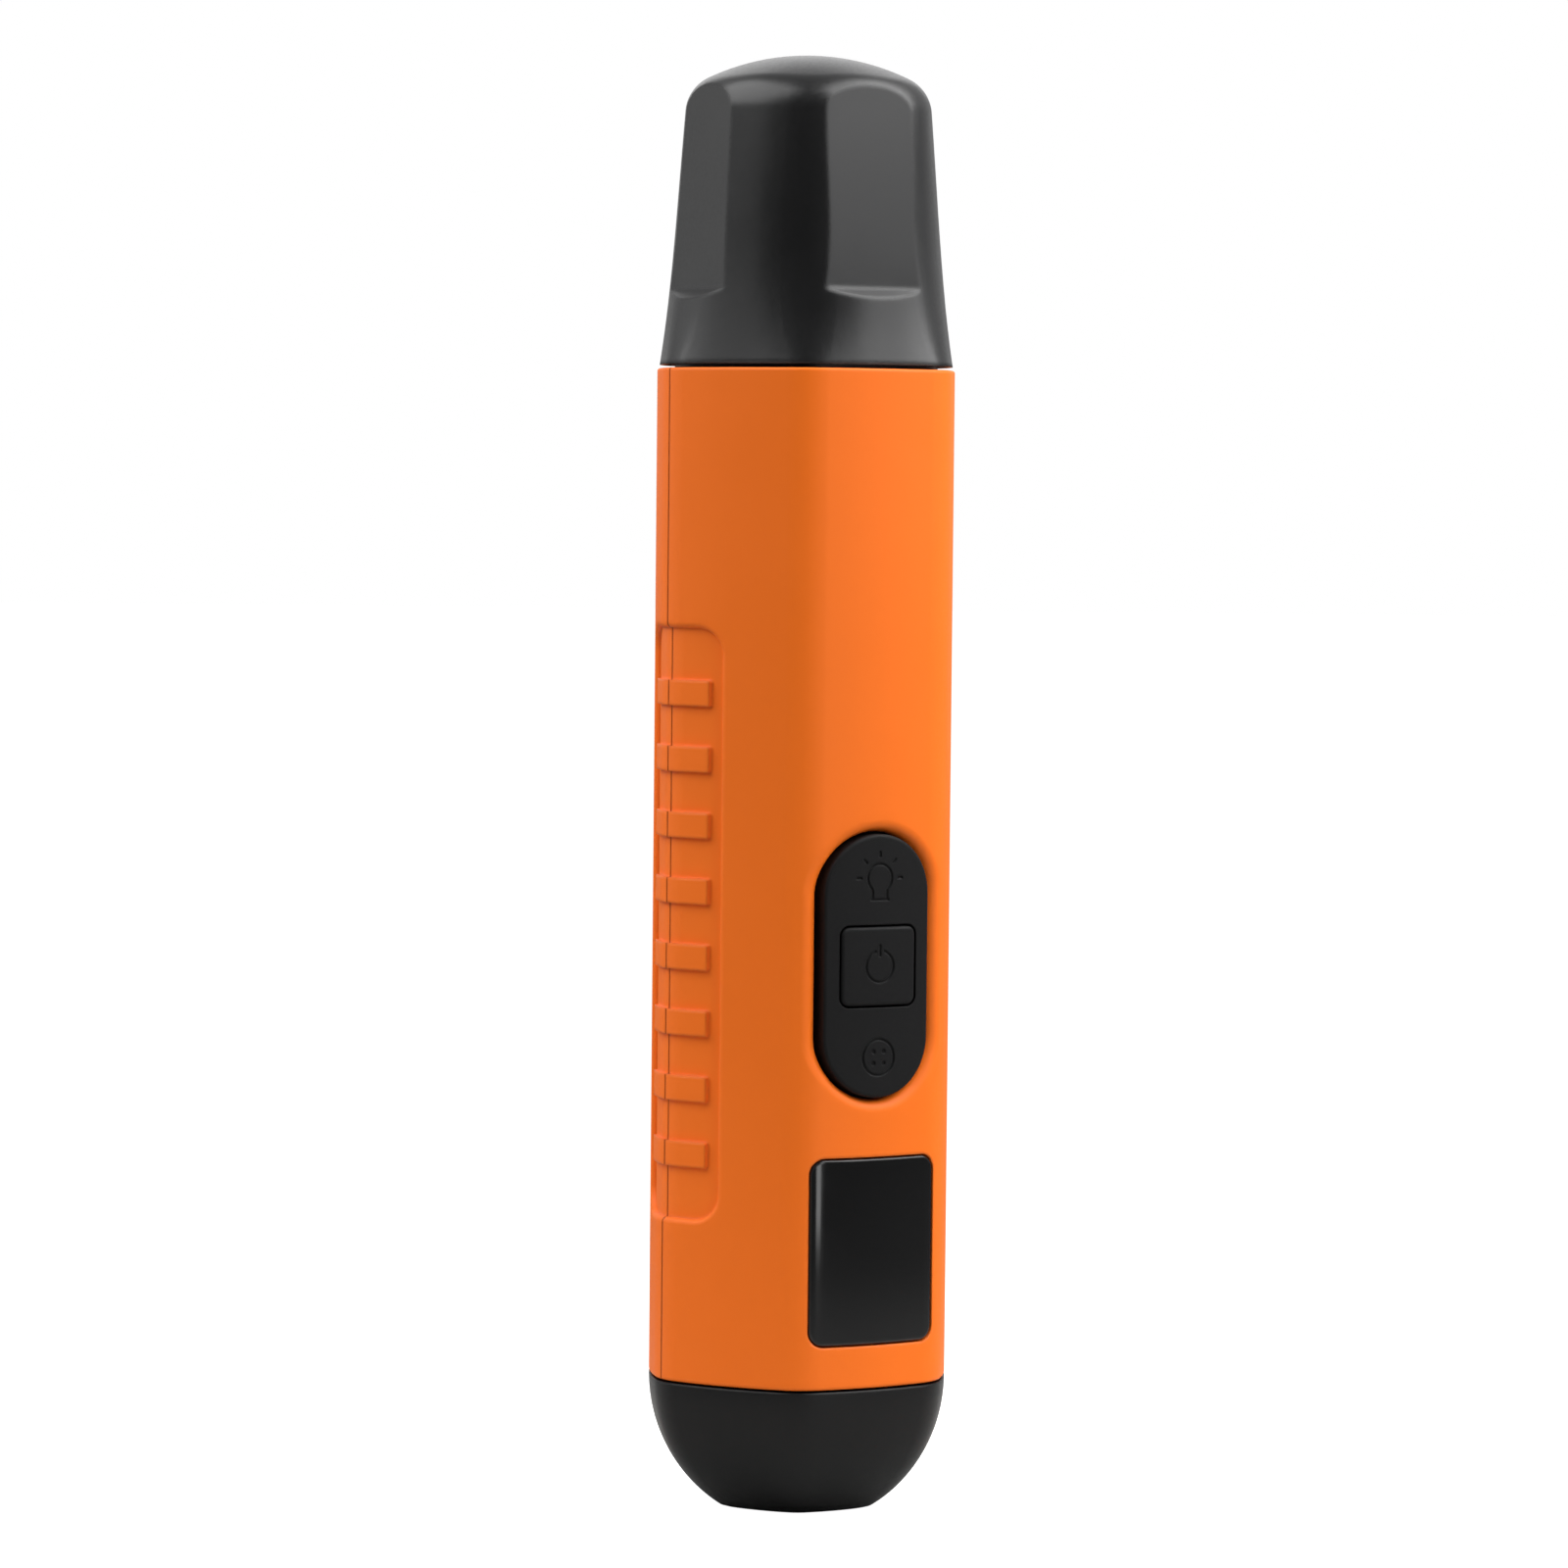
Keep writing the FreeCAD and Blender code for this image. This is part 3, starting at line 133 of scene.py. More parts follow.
@dataclass(frozen=True)
class Finish:
    """A surface: what it is made of and how it was made.

    The grain is the texture of the mould or tool, the mottle is the slow change of tone over a
    piece, and the edge is where handling has polished and paled the surface.
    """

    name: str
    colour: str
    roughness: float
    ior: float = 1.5
    specular: float = 0.5
    metallic: float = 0.0
    grain_mm: float = 0.45
    grain_depth_mm: float = 0.010
    mottle_mm: float = 14.0
    mottle: float = 0.04
    roughness_spread: float = 0.05
    edge_mm: float = 0.25
    edge_tone: float = 0.15
    transmission: float = 0.0
    coat: float = 0.0
    coat_roughness: float = 0.08
    subsurface: float = 0.0
    subsurface_mm: float = 1.0
    stretch: tuple[float, float, float] = (1.0, 1.0, 1.0)

    def material(self) -> bpy.types.Material:
        """Build the node material once and reuse it after that.

        Returns:
            The material of this finish.
        """
        found = bpy.data.materials.get(self.name)
        if found is not None:
            return found
        material = bpy.data.materials.new(self.name)
        material.use_nodes = True
        tree = material.node_tree
        tree.nodes.clear()
        place = add_node(tree, "ShaderNodeTexCoord")
        spread = add_node(tree, "ShaderNodeMapping", {"Scale": self.stretch},
                          {"Vector": place.outputs["Object"]})
        grain = self.noise(tree, spread.outputs[0], self.grain_mm, FINE_DETAIL)
        slow = self.noise(tree, spread.outputs[0], self.mottle_mm, SLOW_DETAIL)
        edge = self.edge_mask(tree)
        colour = self.colour_nodes(tree, slow, edge, place.outputs["Object"])
        rough = self.roughness_nodes(tree, grain, slow, edge)
        bump = add_node(tree, "ShaderNodeBump", {"Strength": 1.0, "Distance": self.grain_depth_mm * MM},
                        {"Height": grain, "Normal": self.softened(tree)})
        shader = add_node(tree, "ShaderNodeBsdfPrincipled", self.shader_values(),
                          {"Base Color": colour, "Roughness": rough, "Normal": bump.outputs[0]})
        add_node(tree, "ShaderNodeOutputMaterial", {}, {"Surface": shader.outputs[0]})
        return material

    def noise(self, tree: bpy.types.NodeTree, where: bpy.types.NodeSocket, size_mm: float,
              detail: float) -> bpy.types.NodeSocket:
        """Add a noise whose features have a real size.

        Args:
            tree: the material's node tree.
            where: the coordinates to read.
            size_mm: the size of a feature.
            detail: how many finer layers it has.

        Returns:
            The noise's value, from 0 to 1.
        """
        texture = add_node(tree, "ShaderNodeTexNoise",
                           {"Scale": 1 / (size_mm * MM), "Detail": detail, "Roughness": DETAIL_FALLOFF},
                           {"Vector": where})
        return texture.outputs[0]

    def shader_values(self) -> dict[str, Any]:
        """Collect the constants that sit on the shader's own sockets.

        Returns:
            Socket values by socket name.
        """
        values: dict[str, Any] = {"Metallic": self.metallic, "Specular IOR Level": self.specular,
                                  "Transmission Weight": self.transmission,
                                  "Coat Weight": self.coat, "Coat Roughness": self.coat_roughness,
                                  "Subsurface Weight": self.subsurface,
                                  "Subsurface Radius": DEPTH_BY_COLOUR,
                                  "Subsurface Scale": self.subsurface_mm * MM}
        if self.metallic == 0.0:
            values["IOR"] = self.ior
        return values

    def softened(self, tree: bpy.types.NodeTree) -> bpy.types.NodeSocket:
        """Round the light over sharp edges, as a moulding's edges do.

        Args:
            tree: the material's node tree.

        Returns:
            The softened normal.
        """
        rounded = add_node(tree, "ShaderNodeBevel", {"samples": BEVEL_SAMPLES, "Radius": self.edge_mm * MM})
        return rounded.outputs[0]

    def edge_mask(self, tree: bpy.types.NodeTree) -> bpy.types.NodeSocket:
        """Find how far the surface turns within the edge width.

        Args:
            tree: the material's node tree.

        Returns:
            A value that is 0 on a face and nears 1 on an edge.
        """
        rounded = add_node(tree, "ShaderNodeBevel", {"samples": BEVEL_SAMPLES, "Radius": self.edge_mm * MM})
        true = add_node(tree, "ShaderNodeNewGeometry")
        match = add_node(tree, "ShaderNodeVectorMath", {"operation": "DOT_PRODUCT"},
                         {0: rounded.outputs[0], 1: true.outputs["Normal"]})
        mask = add_node(tree, "ShaderNodeMapRange",
                        {"From Min": FACE_MATCH, "From Max": EDGE_MATCH, "To Min": 0.0, "To Max": 1.0},
                        {"Value": match.outputs["Value"]})
        return mask.outputs[0]

    def base_colour(self, tree: bpy.types.NodeTree, slow: bpy.types.NodeSocket,
                    place: bpy.types.NodeSocket) -> bpy.types.NodeSocket:
        """Vary the base colour slowly over the piece.

        Args:
            tree: the material's node tree.
            slow: the slow noise.
            place: the piece's own coordinates; not used by the plain finish.

        Returns:
            The colour before wear.
        """
        base = linear(self.colour)
        tone = add_node(tree, "ShaderNodeMix", {"data_type": "RGBA", 6: toned(base, 1 - self.mottle),
                                                7: toned(base, 1 + self.mottle)}, {0: slow})
        return tone.outputs[2]

    def colour_nodes(self, tree: bpy.types.NodeTree, slow: bpy.types.NodeSocket,
                     edge: bpy.types.NodeSocket, place: bpy.types.NodeSocket) -> bpy.types.NodeSocket:
        """Lighten the base colour where edges are handled.

        Args:
            tree: the material's node tree.
            slow: the slow noise.
            edge: the edge mask.
            place: the piece's own coordinates.

        Returns:
            The colour for the shader.
        """
        base = linear(self.colour)
        light = tuple(level + EDGE_PALE * self.edge_tone * (1 - level) for level in base[:3]) + (1.0,)
        amount = add_node(tree, "ShaderNodeMath", {"operation": "MULTIPLY", 1: 2 * self.edge_tone}, {0: edge})
        worn = add_node(tree, "ShaderNodeMix", {"data_type": "RGBA", 7: light},
                        {0: amount.outputs[0], 6: self.base_colour(tree, slow, place)})
        return worn.outputs[2]

    def roughness_nodes(self, tree: bpy.types.NodeTree, grain: bpy.types.NodeSocket,
                        slow: bpy.types.NodeSocket, edge: bpy.types.NodeSocket) -> bpy.types.NodeSocket:
        """Spread the roughness with the grain and the mottle and polish the worn edges.

        Args:
            tree: the material's node tree.
            grain: the fine noise.
            slow: the slow noise.
            edge: the edge mask.

        Returns:
            The roughness for the shader.
        """
        mixed = add_node(tree, "ShaderNodeMath", {"operation": "MULTIPLY"}, {0: grain, 1: slow})
        spread = add_node(tree, "ShaderNodeMapRange",
                          {"From Min": SPREAD_LOW, "From Max": SPREAD_HIGH,
                           "To Min": self.roughness - self.roughness_spread,
                           "To Max": self.roughness + self.roughness_spread}, {"Value": mixed.outputs[0]})
        polish = add_node(tree, "ShaderNodeMath", {"operation": "MULTIPLY", 1: EDGE_POLISH}, {0: edge})
        result = add_node(tree, "ShaderNodeMath", {"operation": "SUBTRACT", "use_clamp": True},
                          {0: spread.outputs[0], 1: polish.outputs[0]})
        return result.outputs[0]


@dataclass(frozen=True)
class BandedFinish(Finish):
    """A printed sleeve: plain bands of colour up its length."""

    band_colour: str = "#C9CCD0"
    band_low_mm: float = 0.0
    band_high_mm: float = 10.0

    def base_colour(self, tree: bpy.types.NodeTree, slow: bpy.types.NodeSocket,
                    place: bpy.types.NodeSocket) -> bpy.types.NodeSocket:
        """Print one band over the base colour between two heights.

        Args:
            tree: the material's node tree.
            slow: the slow noise.
            place: the piece's own coordinates.

        Returns:
            The colour before wear.
        """
        plain = Finish.base_colour(self, tree, slow, place)
        split = add_node(tree, "ShaderNodeSeparateXYZ", {}, {0: place})
        above = add_node(tree, "ShaderNodeMath", {"operation": "GREATER_THAN", 1: self.band_low_mm * MM},
                         {0: split.outputs[2]})
        below = add_node(tree, "ShaderNodeMath", {"operation": "LESS_THAN", 1: self.band_high_mm * MM},
                         {0: split.outputs[2]})
        inside = add_node(tree, "ShaderNodeMath", {"operation": "MULTIPLY"},
                          {0: above.outputs[0], 1: below.outputs[0]})
        band = add_node(tree, "ShaderNodeMix", {"data_type": "RGBA", 7: linear(self.band_colour)},
                        {0: inside.outputs[0], 6: plain})
        return band.outputs[2]


@dataclass(frozen=True)
class SeamShadeFinish(Finish):
    """A skin moulded in two halves, with painted shade along the parting line where they meet."""

    # Width of the painted shade along the parting line, and how dark the colour is there
    seam_shade_mm: float = 0.22
    seam_shade_share: float = 0.5

    def base_colour(self, tree: bpy.types.NodeTree, slow: bpy.types.NodeSocket,
                    place: bpy.types.NodeSocket) -> bpy.types.NodeSocket:
        """Paint shade into the colour close to the middle plane, where the halves meet.

        Args:
            tree: the material's node tree.
            slow: the slow noise.
            place: the piece's own coordinates.

        Returns:
            The colour before wear.
        """
        split = add_node(tree, "ShaderNodeSeparateXYZ", {}, {0: place})
        away = add_node(tree, "ShaderNodeMath", {"operation": "ABSOLUTE"}, {0: split.outputs[1]})
        clear = add_node(tree, "ShaderNodeMapRange",
                         {"From Min": 0.0, "From Max": self.seam_shade_mm * MM, "To Min": 0.0, "To Max": 1.0},
                         {"Value": away.outputs[0]})
        # Painted shade: the colour darkens towards the parting line
        shade = add_node(tree, "ShaderNodeMix",
                         {"data_type": "RGBA", 6: toned(linear(self.colour), self.seam_shade_share)},
                         {0: clear.outputs[0], 7: Finish.base_colour(self, tree, slow, place)})
        return shade.outputs[2]


@dataclass(frozen=True)
class StageFinish(Finish):
    """Paper that is pale under the tester with painted shade further out, which glossy faces mirror."""

    # The painted shade begins at the first distance and is full at the second, at this share of the colour
    pale_mm: float = 60.0
    painted_shade_mm: float = 300.0
    painted_shade_share: float = 0.16

    def base_colour(self, tree: bpy.types.NodeTree, slow: bpy.types.NodeSocket,
                    place: bpy.types.NodeSocket) -> bpy.types.NodeSocket:
        """Paint shade into the paper with its distance from the middle.

        Args:
            tree: the material's node tree.
            slow: the slow noise.
            place: the piece's own coordinates.

        Returns:
            The paper's colour with its painted shade.
        """
        away = add_node(tree, "ShaderNodeVectorMath", {"operation": "LENGTH"}, {0: place})
        share = add_node(tree, "ShaderNodeMapRange",
                         {"From Min": self.pale_mm * MM, "From Max": self.painted_shade_mm * MM, "To Min": 0.0,
                          "To Max": 1.0}, {"Value": away.outputs["Value"]})
        shade = add_node(tree, "ShaderNodeMix",
                         {"data_type": "RGBA", 7: toned(linear(self.colour), self.painted_shade_share)},
                         {0: share.outputs[0], 6: Finish.base_colour(self, tree, slow, place)})
        return shade.outputs[2]


# ABS from a fine spark-eroded mould: satin, so each facet carries a broad soft light; its parting line
# carries painted shade
CASING_ORANGE = SeamShadeFinish("orange_abs_satin_painted_seam_shade", "#FA751C", 0.50, ior=1.54, specular=0.20,
                           mottle=0.025, grain_mm=0.5, grain_depth_mm=0.008, edge_mm=0.6, edge_tone=0.08)
# Black ABS from a smoother mould: a broad grey sheen on the flats and a deep black between them
CAP_BLACK = Finish("black_abs_moulded_satin", "#131314", 0.33, ior=1.54, specular=0.42, mottle=0.10,
                   grain_depth_mm=0.005, edge_mm=1.0, edge_tone=0.06)
# Black ABS from a duller mould: the foot takes little light from the floor
TAIL_BLACK = Finish("black_abs_moulded_dull", "#0F0F10", 0.38, ior=1.54, specular=0.22, mottle=0.10,
                    grain_depth_mm=0.005, edge_mm=0.5, edge_tone=0.08)
# The same ABS out of sight under the cap, from a plainer mould: a duller sheen
NOSE_BLACK = Finish("black_abs_moulded_fine", "#1C1C1E", 0.45, ior=1.54, mottle=0.08)
# Thermoplastic rubber from a vapour-blasted mould: matte, with no clear highlights
KEY_RUBBER = Finish("black_rubber_moulded_matte", "#101011", 0.62, ior=1.48, specular=0.2, mottle=0.10,
                    edge_tone=0.08)
# Nitrile: nearly black with a dull shine on its round back
SEAL_RUBBER = Finish("black_nitrile_moulded", "#101011", 0.5, ior=1.52, mottle=0.12)
# Silicone: milky grey, dry to the eye
SILICONE = Finish("grey_silicone_moulded", "#8C8D90", 0.5, ior=1.43)
# Layered conductive elastomer: fine stripes across the cut face
STRIP_RUBBER = Finish("pink_elastomer_cut", "#B89A98", 0.6, stretch=(1.0, 1.0, 6.0))
# Acrylic printed black behind: a deep mirror-like face with a long slow waviness
WINDOW_ACRYLIC = Finish("black_acrylic_polished", "#0B0B0C", 0.09, ior=1.49, mottle=0.05, grain_mm=6.0,
                        grain_depth_mm=0.0006, roughness_spread=0.02, edge_mm=0.3, edge_tone=0.55)
# Ground display glass: grey-green with a faint ripple
LCD_GLASS = Finish("display_glass_ground", "#6F7A6C", 0.06, ior=1.52, grain_depth_mm=0.0005, grain_mm=2.0)
# Moulded acrylic light guide: bright and slightly cloudy
GUIDE_ACRYLIC = Finish("white_acrylic_guide_moulded", "#E9ECE8", 0.25, ior=1.49)
# White ABS frame: plain moulded, a touch warm
INNER_WHITE = Finish("white_abs_moulded", "#DEDDD8", 0.45, ior=1.54)
# Zinc-plated steel: bright with fine drawn scatter
SCREW_STEEL = Finish("steel_zinc_plated", "#B7B8BA", 0.3, metallic=1.0, grain_mm=0.6, mottle_mm=3.0)
# Nickel-plated spring steel: warm white metal with drawn lines
SPRING_STEEL = Finish("spring_steel_nickel_plated", "#C4C1B8", 0.22, metallic=1.0, grain_mm=0.5,
                      mottle_mm=3.0)
# Gold-flashed brass: yellow and smooth
CONTACT_BRASS = Finish("brass_gold_flashed", "#D9B25A", 0.25, metallic=1.0, grain_mm=0.5, mottle_mm=3.0)
# Rolled copper: long lines along the blade
ANTENNA_COPPER = Finish("copper_rolled", "#C0764A", 0.32, metallic=1.0, stretch=(1.0, 1.0, 0.1))
# Moulded nylon: even and a little oily
SWITCH_BLACK = Finish("black_nylon_moulded", "#161617", 0.4, ior=1.53)
# Solder mask over glass cloth: the weave shows as a slow green mottle under a clear coat
BOARD_GREEN = Finish("fibreglass_green_mask", "#1F6B3A", 0.3, ior=1.55, mottle=0.12, mottle_mm=5.0, coat=0.4)
# Filled epoxy: dull charcoal
CHIP_BLACK = Finish("black_epoxy_moulded", "#1A1A1B", 0.55)
# Sintered ceramic: chalky tan
CHIP_CERAMIC = Finish("tan_ceramic_sintered", "#A98A68", 0.5, ior=1.7)
# Diffusing polycarbonate: milky, with light carried inside the wall
TIP_WHITE = Finish("white_polycarbonate_moulded", "#E8E9E6", 0.35, ior=1.58, transmission=0.2, subsurface=0.4,
                   subsurface_mm=2.0)
# Polished acrylic rod: clear, with a bright domed end
LENS_CLEAR = Finish("clear_acrylic_polished", "#F4F7F8", 0.05, ior=1.49, transmission=0.9, grain_mm=2.0,
                    grain_depth_mm=0.0004, roughness_spread=0.015)
# Aluminium coated in vacuum on plastic: a clean mirror
REFLECTOR = Finish("aluminium_vacuum_coated", "#DADBDD", 0.1, metallic=1.0, roughness_spread=0.02)
# Tinted epoxy with a diffuser: glowing red in bright light
LED_RED = Finish("red_epoxy_cast", "#C4231A", 0.2, ior=1.53, transmission=0.35)
# Phosphor in silicone: flat yellow
LED_WHITE = Finish("yellow_phosphor_cast", "#E6D36A", 0.4, ior=1.45)
# Polypropylene: waxy charcoal
SLED_BLACK = Finish("black_polypropylene_moulded", "#202022", 0.5, ior=1.49)
# Drawn and nickel-plated steel of a cell's ends
CELL_STEEL = Finish("steel_nickel_plated_drawn", "#C9C7C0", 0.2, metallic=1.0, grain_mm=0.4, mottle_mm=4.0)
# Paper washer at a cell's plus end
WASHER_CARD = Finish("grey_fibre_card_punched", "#5B5C60", 0.8, grain_mm=0.3, grain_depth_mm=0.02)


def dress(piece: bpy.types.Object, finish: Finish) -> None:
    """Put one finish on every slot of a piece.

    Args:
        piece: the object to dress.
        finish: its surface.
    """
    material = finish.material()
    if not piece.data.materials:
        piece.data.materials.append(material)
    for slot in piece.material_slots:
        slot.material = material


def turned_piece(name: str, outline: list[tuple[float, float]], centre: tuple[float, float],
                 steps: int = 64) -> bpy.types.Object:
    """Turn an outline round an upright axis into a closed piece.

    Args:
        name: the piece's name.
        outline: radius and height of each point, the first and last on the axis or joined in a ring.
        centre: x and y of the axis.
        steps: how many facets go round.

    Returns:
        The new object, with its place in its mesh.
    """
    form = bmesh.new()
    points = [form.verts.new((centre[0] + radius, centre[1], height)) for radius, height in outline]
    for first, second in zip(points, points[1:]):
        form.edges.new((first, second))
    if outline[0][0] > 0.0:
        form.edges.new((points[-1], points[0]))
    bmesh.ops.spin(form, geom=form.verts[:] + form.edges[:], cent=(centre[0], centre[1], 0.0),
                   axis=(0.0, 0.0, 1.0), angle=math.tau, steps=steps, use_merge=True)
    bmesh.ops.remove_doubles(form, verts=form.verts, dist=MERGE_DISTANCE)
    bmesh.ops.recalc_face_normals(form, faces=form.faces)
    return finished_mesh(name, form)


def finished_mesh(name: str, form: bmesh.types.BMesh, smooth_angle: float = 35.0) -> bpy.types.Object:
    """Turn a bmesh into an object with smooth faces between its sharp edges.

    Args:
        name: the object's name.
        form: the mesh, which is freed.
        smooth_angle: degrees past which an edge stays sharp.

    Returns:
        The new object at the origin.
    """
    for face in form.faces:
        face.smooth = True
    for edge in form.edges:
        edge.smooth = len(edge.link_faces) == 2 and edge.calc_face_angle() < math.radians(smooth_angle)
    mesh = bpy.data.meshes.new(name)
    form.to_mesh(mesh)
    form.free()
    piece = bpy.data.objects.new(name, mesh)
    bpy.context.scene.collection.objects.link(piece)
    return piece


def rounded_step(radius: float, height: float, round_off: float, up: int,
                 steps: int = 5) -> list[tuple[float, float]]:
    """Points round the outer corner of a turned outline.

    Args:
        radius: the outermost radius.
        height: the height of the end face.
        round_off: the corner's radius.
        up: 1 where the end face looks up, -1 where it looks down.
        steps: how many facets the corner has.

    Returns:
        Radius and height of each point, from the side to the end face.
    """
    points = []
    for number in range(steps + 1):
        turn = math.pi / 2 * number / steps
        points.append((radius - round_off + round_off * math.cos(turn),
                       height - up * round_off + up * round_off * math.sin(turn)))
    return points


@dataclass
class SubAssembly:
    """A group of pieces that go together, with the finish of each piece of the frame in it."""

    finishes: dict[str, Finish] = field(default_factory=dict)

    def build(self) -> None:
        """Dress the pieces of the frame and log each one."""
        for name, finish in self.finishes.items():
            dress(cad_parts[name], finish)
            log.info("dressed %s in %s", name, finish.name)


@dataclass
class Casing(SubAssembly):
    """The two orange shells and the screws between them."""

    finishes: dict[str, Finish] = field(default_factory=lambda: {
        "front_shell": CASING_ORANGE,
        "rear_shell": CASING_ORANGE,
        "shell_screws": SCREW_STEEL,
    })


@dataclass
class Display(SubAssembly):
    """The window and the display module behind it."""

    finishes: dict[str, Finish] = field(default_factory=lambda: {
        "display_window": WINDOW_ACRYLIC,
        "window_gasket": SEAL_RUBBER,
        "lcd_panel": LCD_GLASS,
        "lcd_backlight": GUIDE_ACRYLIC,
        "lcd_connector": STRIP_RUBBER,
        "lcd_frame": INNER_WHITE,
    })


@dataclass
class Keypad(SubAssembly):
    """The rocker, the key that slides through it, and what they press on."""

    finishes: dict[str, Finish] = field(default_factory=lambda: {
        "function_rocker": KEY_RUBBER,
        "power_key": KEY_RUBBER,
        "rocker_pins": SCREW_STEEL,
        "keypad_seal": SILICONE,
        "tact_switches": SWITCH_BLACK,
    })


@dataclass
class Electronics(SubAssembly):
    """The main board, what is soldered on it and its screws."""

    finishes: dict[str, Finish] = field(default_factory=lambda: {
        "main_board": BOARD_GREEN,
        "board_screws": SCREW_STEEL,
        "board_chips": CHIP_BLACK,
        "board_passives": CHIP_CERAMIC,
        "buzzer": SWITCH_BLACK,
        "board_link": CONTACT_BRASS,
        "battery_contacts": CONTACT_BRASS,
    })


@dataclass
class Nose(SubAssembly):
    """The probe under the cap, with its lights and its sensing blade."""

    finishes: dict[str, Finish] = field(default_factory=lambda: {
        "nose_housing": NOSE_BLACK,
        "cap_seal": SEAL_RUBBER,
        "probe_tip": TIP_WHITE,
        "antenna_plate": ANTENNA_COPPER,
        "alarm_led": LED_RED,
        "torch_lens": LENS_CLEAR,
        "torch_reflector": REFLECTOR,
        "torch_led": LED_WHITE,
        "nose_board": BOARD_GREEN,
        "nose_screws": SCREW_STEEL,
    })


@dataclass
class ProbeCap(SubAssembly):
    """The pull-off cap."""

    finishes: dict[str, Finish] = field(default_factory=lambda: {"probe_cap": CAP_BLACK})


@dataclass
class Tail(SubAssembly):
    """The tail cap with its gasket and the sled that carries the cells."""

    finishes: dict[str, Finish] = field(default_factory=lambda: {
        "tail_cap": TAIL_BLACK,
        "tail_gasket": SEAL_RUBBER,
        "battery_sled": SLED_BLACK,
        "sled_screw": SCREW_STEEL,
        "contact_springs": SPRING_STEEL,
        "contact_plates": SPRING_STEEL,
    })


@dataclass
class Cell:
    """One battery cell: a steel can in a printed sleeve, with a washer and a nub at its plus end."""

    side: Side
    centre: tuple[float, float]
    low: float
    high: float
    radius: float
    nub_radius: float = 2.75 * MM
    nub_length: float = 1.0 * MM
    nub_edge: float = 0.4 * MM
    can_edge: float = 0.6 * MM
    sleeve_wall: float = 0.12 * MM
    sleeve_fold: float = 1.5 * MM
    fold_share: float = 0.25
    washer_inner: float = 3.2 * MM
    washer_outer: float = 5.6 * MM
    washer_height: float = 0.25 * MM
    washer_lift: float = 0.01 * MM
    minus_disc: float = 4.6 * MM
    minus_step: float = 0.15 * MM
    band_length_mm: float = 11.0

    def upright(self, outline: list[tuple[float, float]]) -> list[tuple[float, float]]:
        """Stand an outline that is measured from the minus end the way round this cell stands.

        Args:
            outline: radius and distance from the minus end of each point.

        Returns:
            Radius and height of each point.
        """
        if self.side is Side.LEFT:
            return [(radius, self.low + rise) for radius, rise in outline]
        return [(radius, self.high - rise) for radius, rise in outline]

    def can_outline(self) -> list[tuple[float, float]]:
        """The steel can from the middle of its minus end to the middle of its nub.

        Returns:
            Radius and distance from the minus end of each point.
        """
        inner = self.radius - self.sleeve_wall
        shoulder = self.high - self.low - self.nub_length
        outline = [(0.0, 0.0), (self.minus_disc, 0.0), (self.minus_disc + self.minus_step, self.minus_step)]
        outline += [(radius, rise) for radius, rise in
                    reversed(rounded_step(inner, self.minus_step, self.can_edge, -1))]
        outline += rounded_step(inner, shoulder - self.minus_step, self.can_edge, 1)
        outline.append((self.nub_radius, shoulder - self.minus_step))
        outline += rounded_step(self.nub_radius, shoulder + self.nub_length, self.nub_edge, 1)
        outline.append((0.0, shoulder + self.nub_length))
        return outline

    def sleeve_outline(self) -> list[tuple[float, float]]:
        """The sleeve's wall with its two folded ends, as a closed ring.

        Returns:
            Radius and distance from the minus end of each point.
        """
        top = self.high - self.low - self.nub_length
        wall = self.sleeve_wall / 2
        inner = self.radius - wall
        outer = [(self.radius - self.sleeve_fold, 0.0)]
        outer += list(reversed(rounded_step(self.radius, 0.0, self.can_edge, -1)))
        outer += rounded_step(self.radius, top, self.can_edge, 1)
        outer.append((self.radius - self.sleeve_fold, top))
        back = [(self.radius - self.sleeve_fold, top - wall)]
        back += list(reversed(rounded_step(inner, top - wall, self.can_edge - wall, 1)))
        back += rounded_step(inner, wall, self.can_edge - wall, -1)
        back.append((self.radius - self.sleeve_fold, wall))
        return outer + back

    def washer_outline(self) -> list[tuple[float, float]]:
        """The card washer round the nub, as a closed ring.

        Returns:
            Radius and distance from the minus end of each point.
        """
        floor = self.high - self.low - self.nub_length - self.minus_step + self.washer_lift
        roof = floor + self.washer_height
        return [(self.washer_inner, floor), (self.washer_outer, floor), (self.washer_outer, roof),
                (self.washer_inner, roof)]

    def sleeve_finish(self) -> BandedFinish:
        """Foil printed slate blue with one silver band at the plus end.

        Returns:
            The finish, with its band at this cell's plus end.
        """
        fold_mm = self.fold_share * (self.can_edge + self.sleeve_fold) / MM
        if self.side is Side.LEFT:
            high = (self.high - self.nub_length) / MM - fold_mm
            low = high - self.band_length_mm
        else:
            low = (self.low + self.nub_length) / MM + fold_mm
            high = low + self.band_length_mm
        return BandedFinish("printed_foil_sleeve_" + self.side.name.lower(), "#2F4A63", 0.28, metallic=0.0,
                            coat=0.5, mottle=0.05, edge_tone=0.3, band_low_mm=low, band_high_mm=high)

    def build(self) -> None:
        """Turn the can, the sleeve and the washer and fasten them to the tail."""
        word = self.side.name.lower()
        pieces = (("cell_can_" + word, self.can_outline(), CELL_STEEL),
                  ("cell_sleeve_" + word, self.sleeve_outline(), self.sleeve_finish()),
                  ("cell_washer_" + word, self.washer_outline(), WASHER_CARD))
        for name, outline, finish in pieces:
            piece = turned_piece(name, self.upright(outline), self.centre)
            dress(piece, finish)
            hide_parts("battery_cells")
            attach(piece, TAIL_BODY)
            log.info("built %s", name)


@dataclass
class CellPair:
    """The two cells side by side in the sled, one each way up."""

    cell_length: float = 50.5 * MM

    def build(self) -> None:
        """Read the pair's box and build a cell at each side of it."""
        low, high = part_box("battery_cells")
        radius = (high[1] - low[1]) / 2
        middle_y = (high[1] + low[1]) / 2
        left = Cell(Side.LEFT, (low[0] + radius, middle_y), high[2] - self.cell_length, high[2], radius)
        right = Cell(Side.RIGHT, (high[0] - radius, middle_y), low[2], low[2] + self.cell_length, radius)
        for cell in (left, right):
            cell.build()


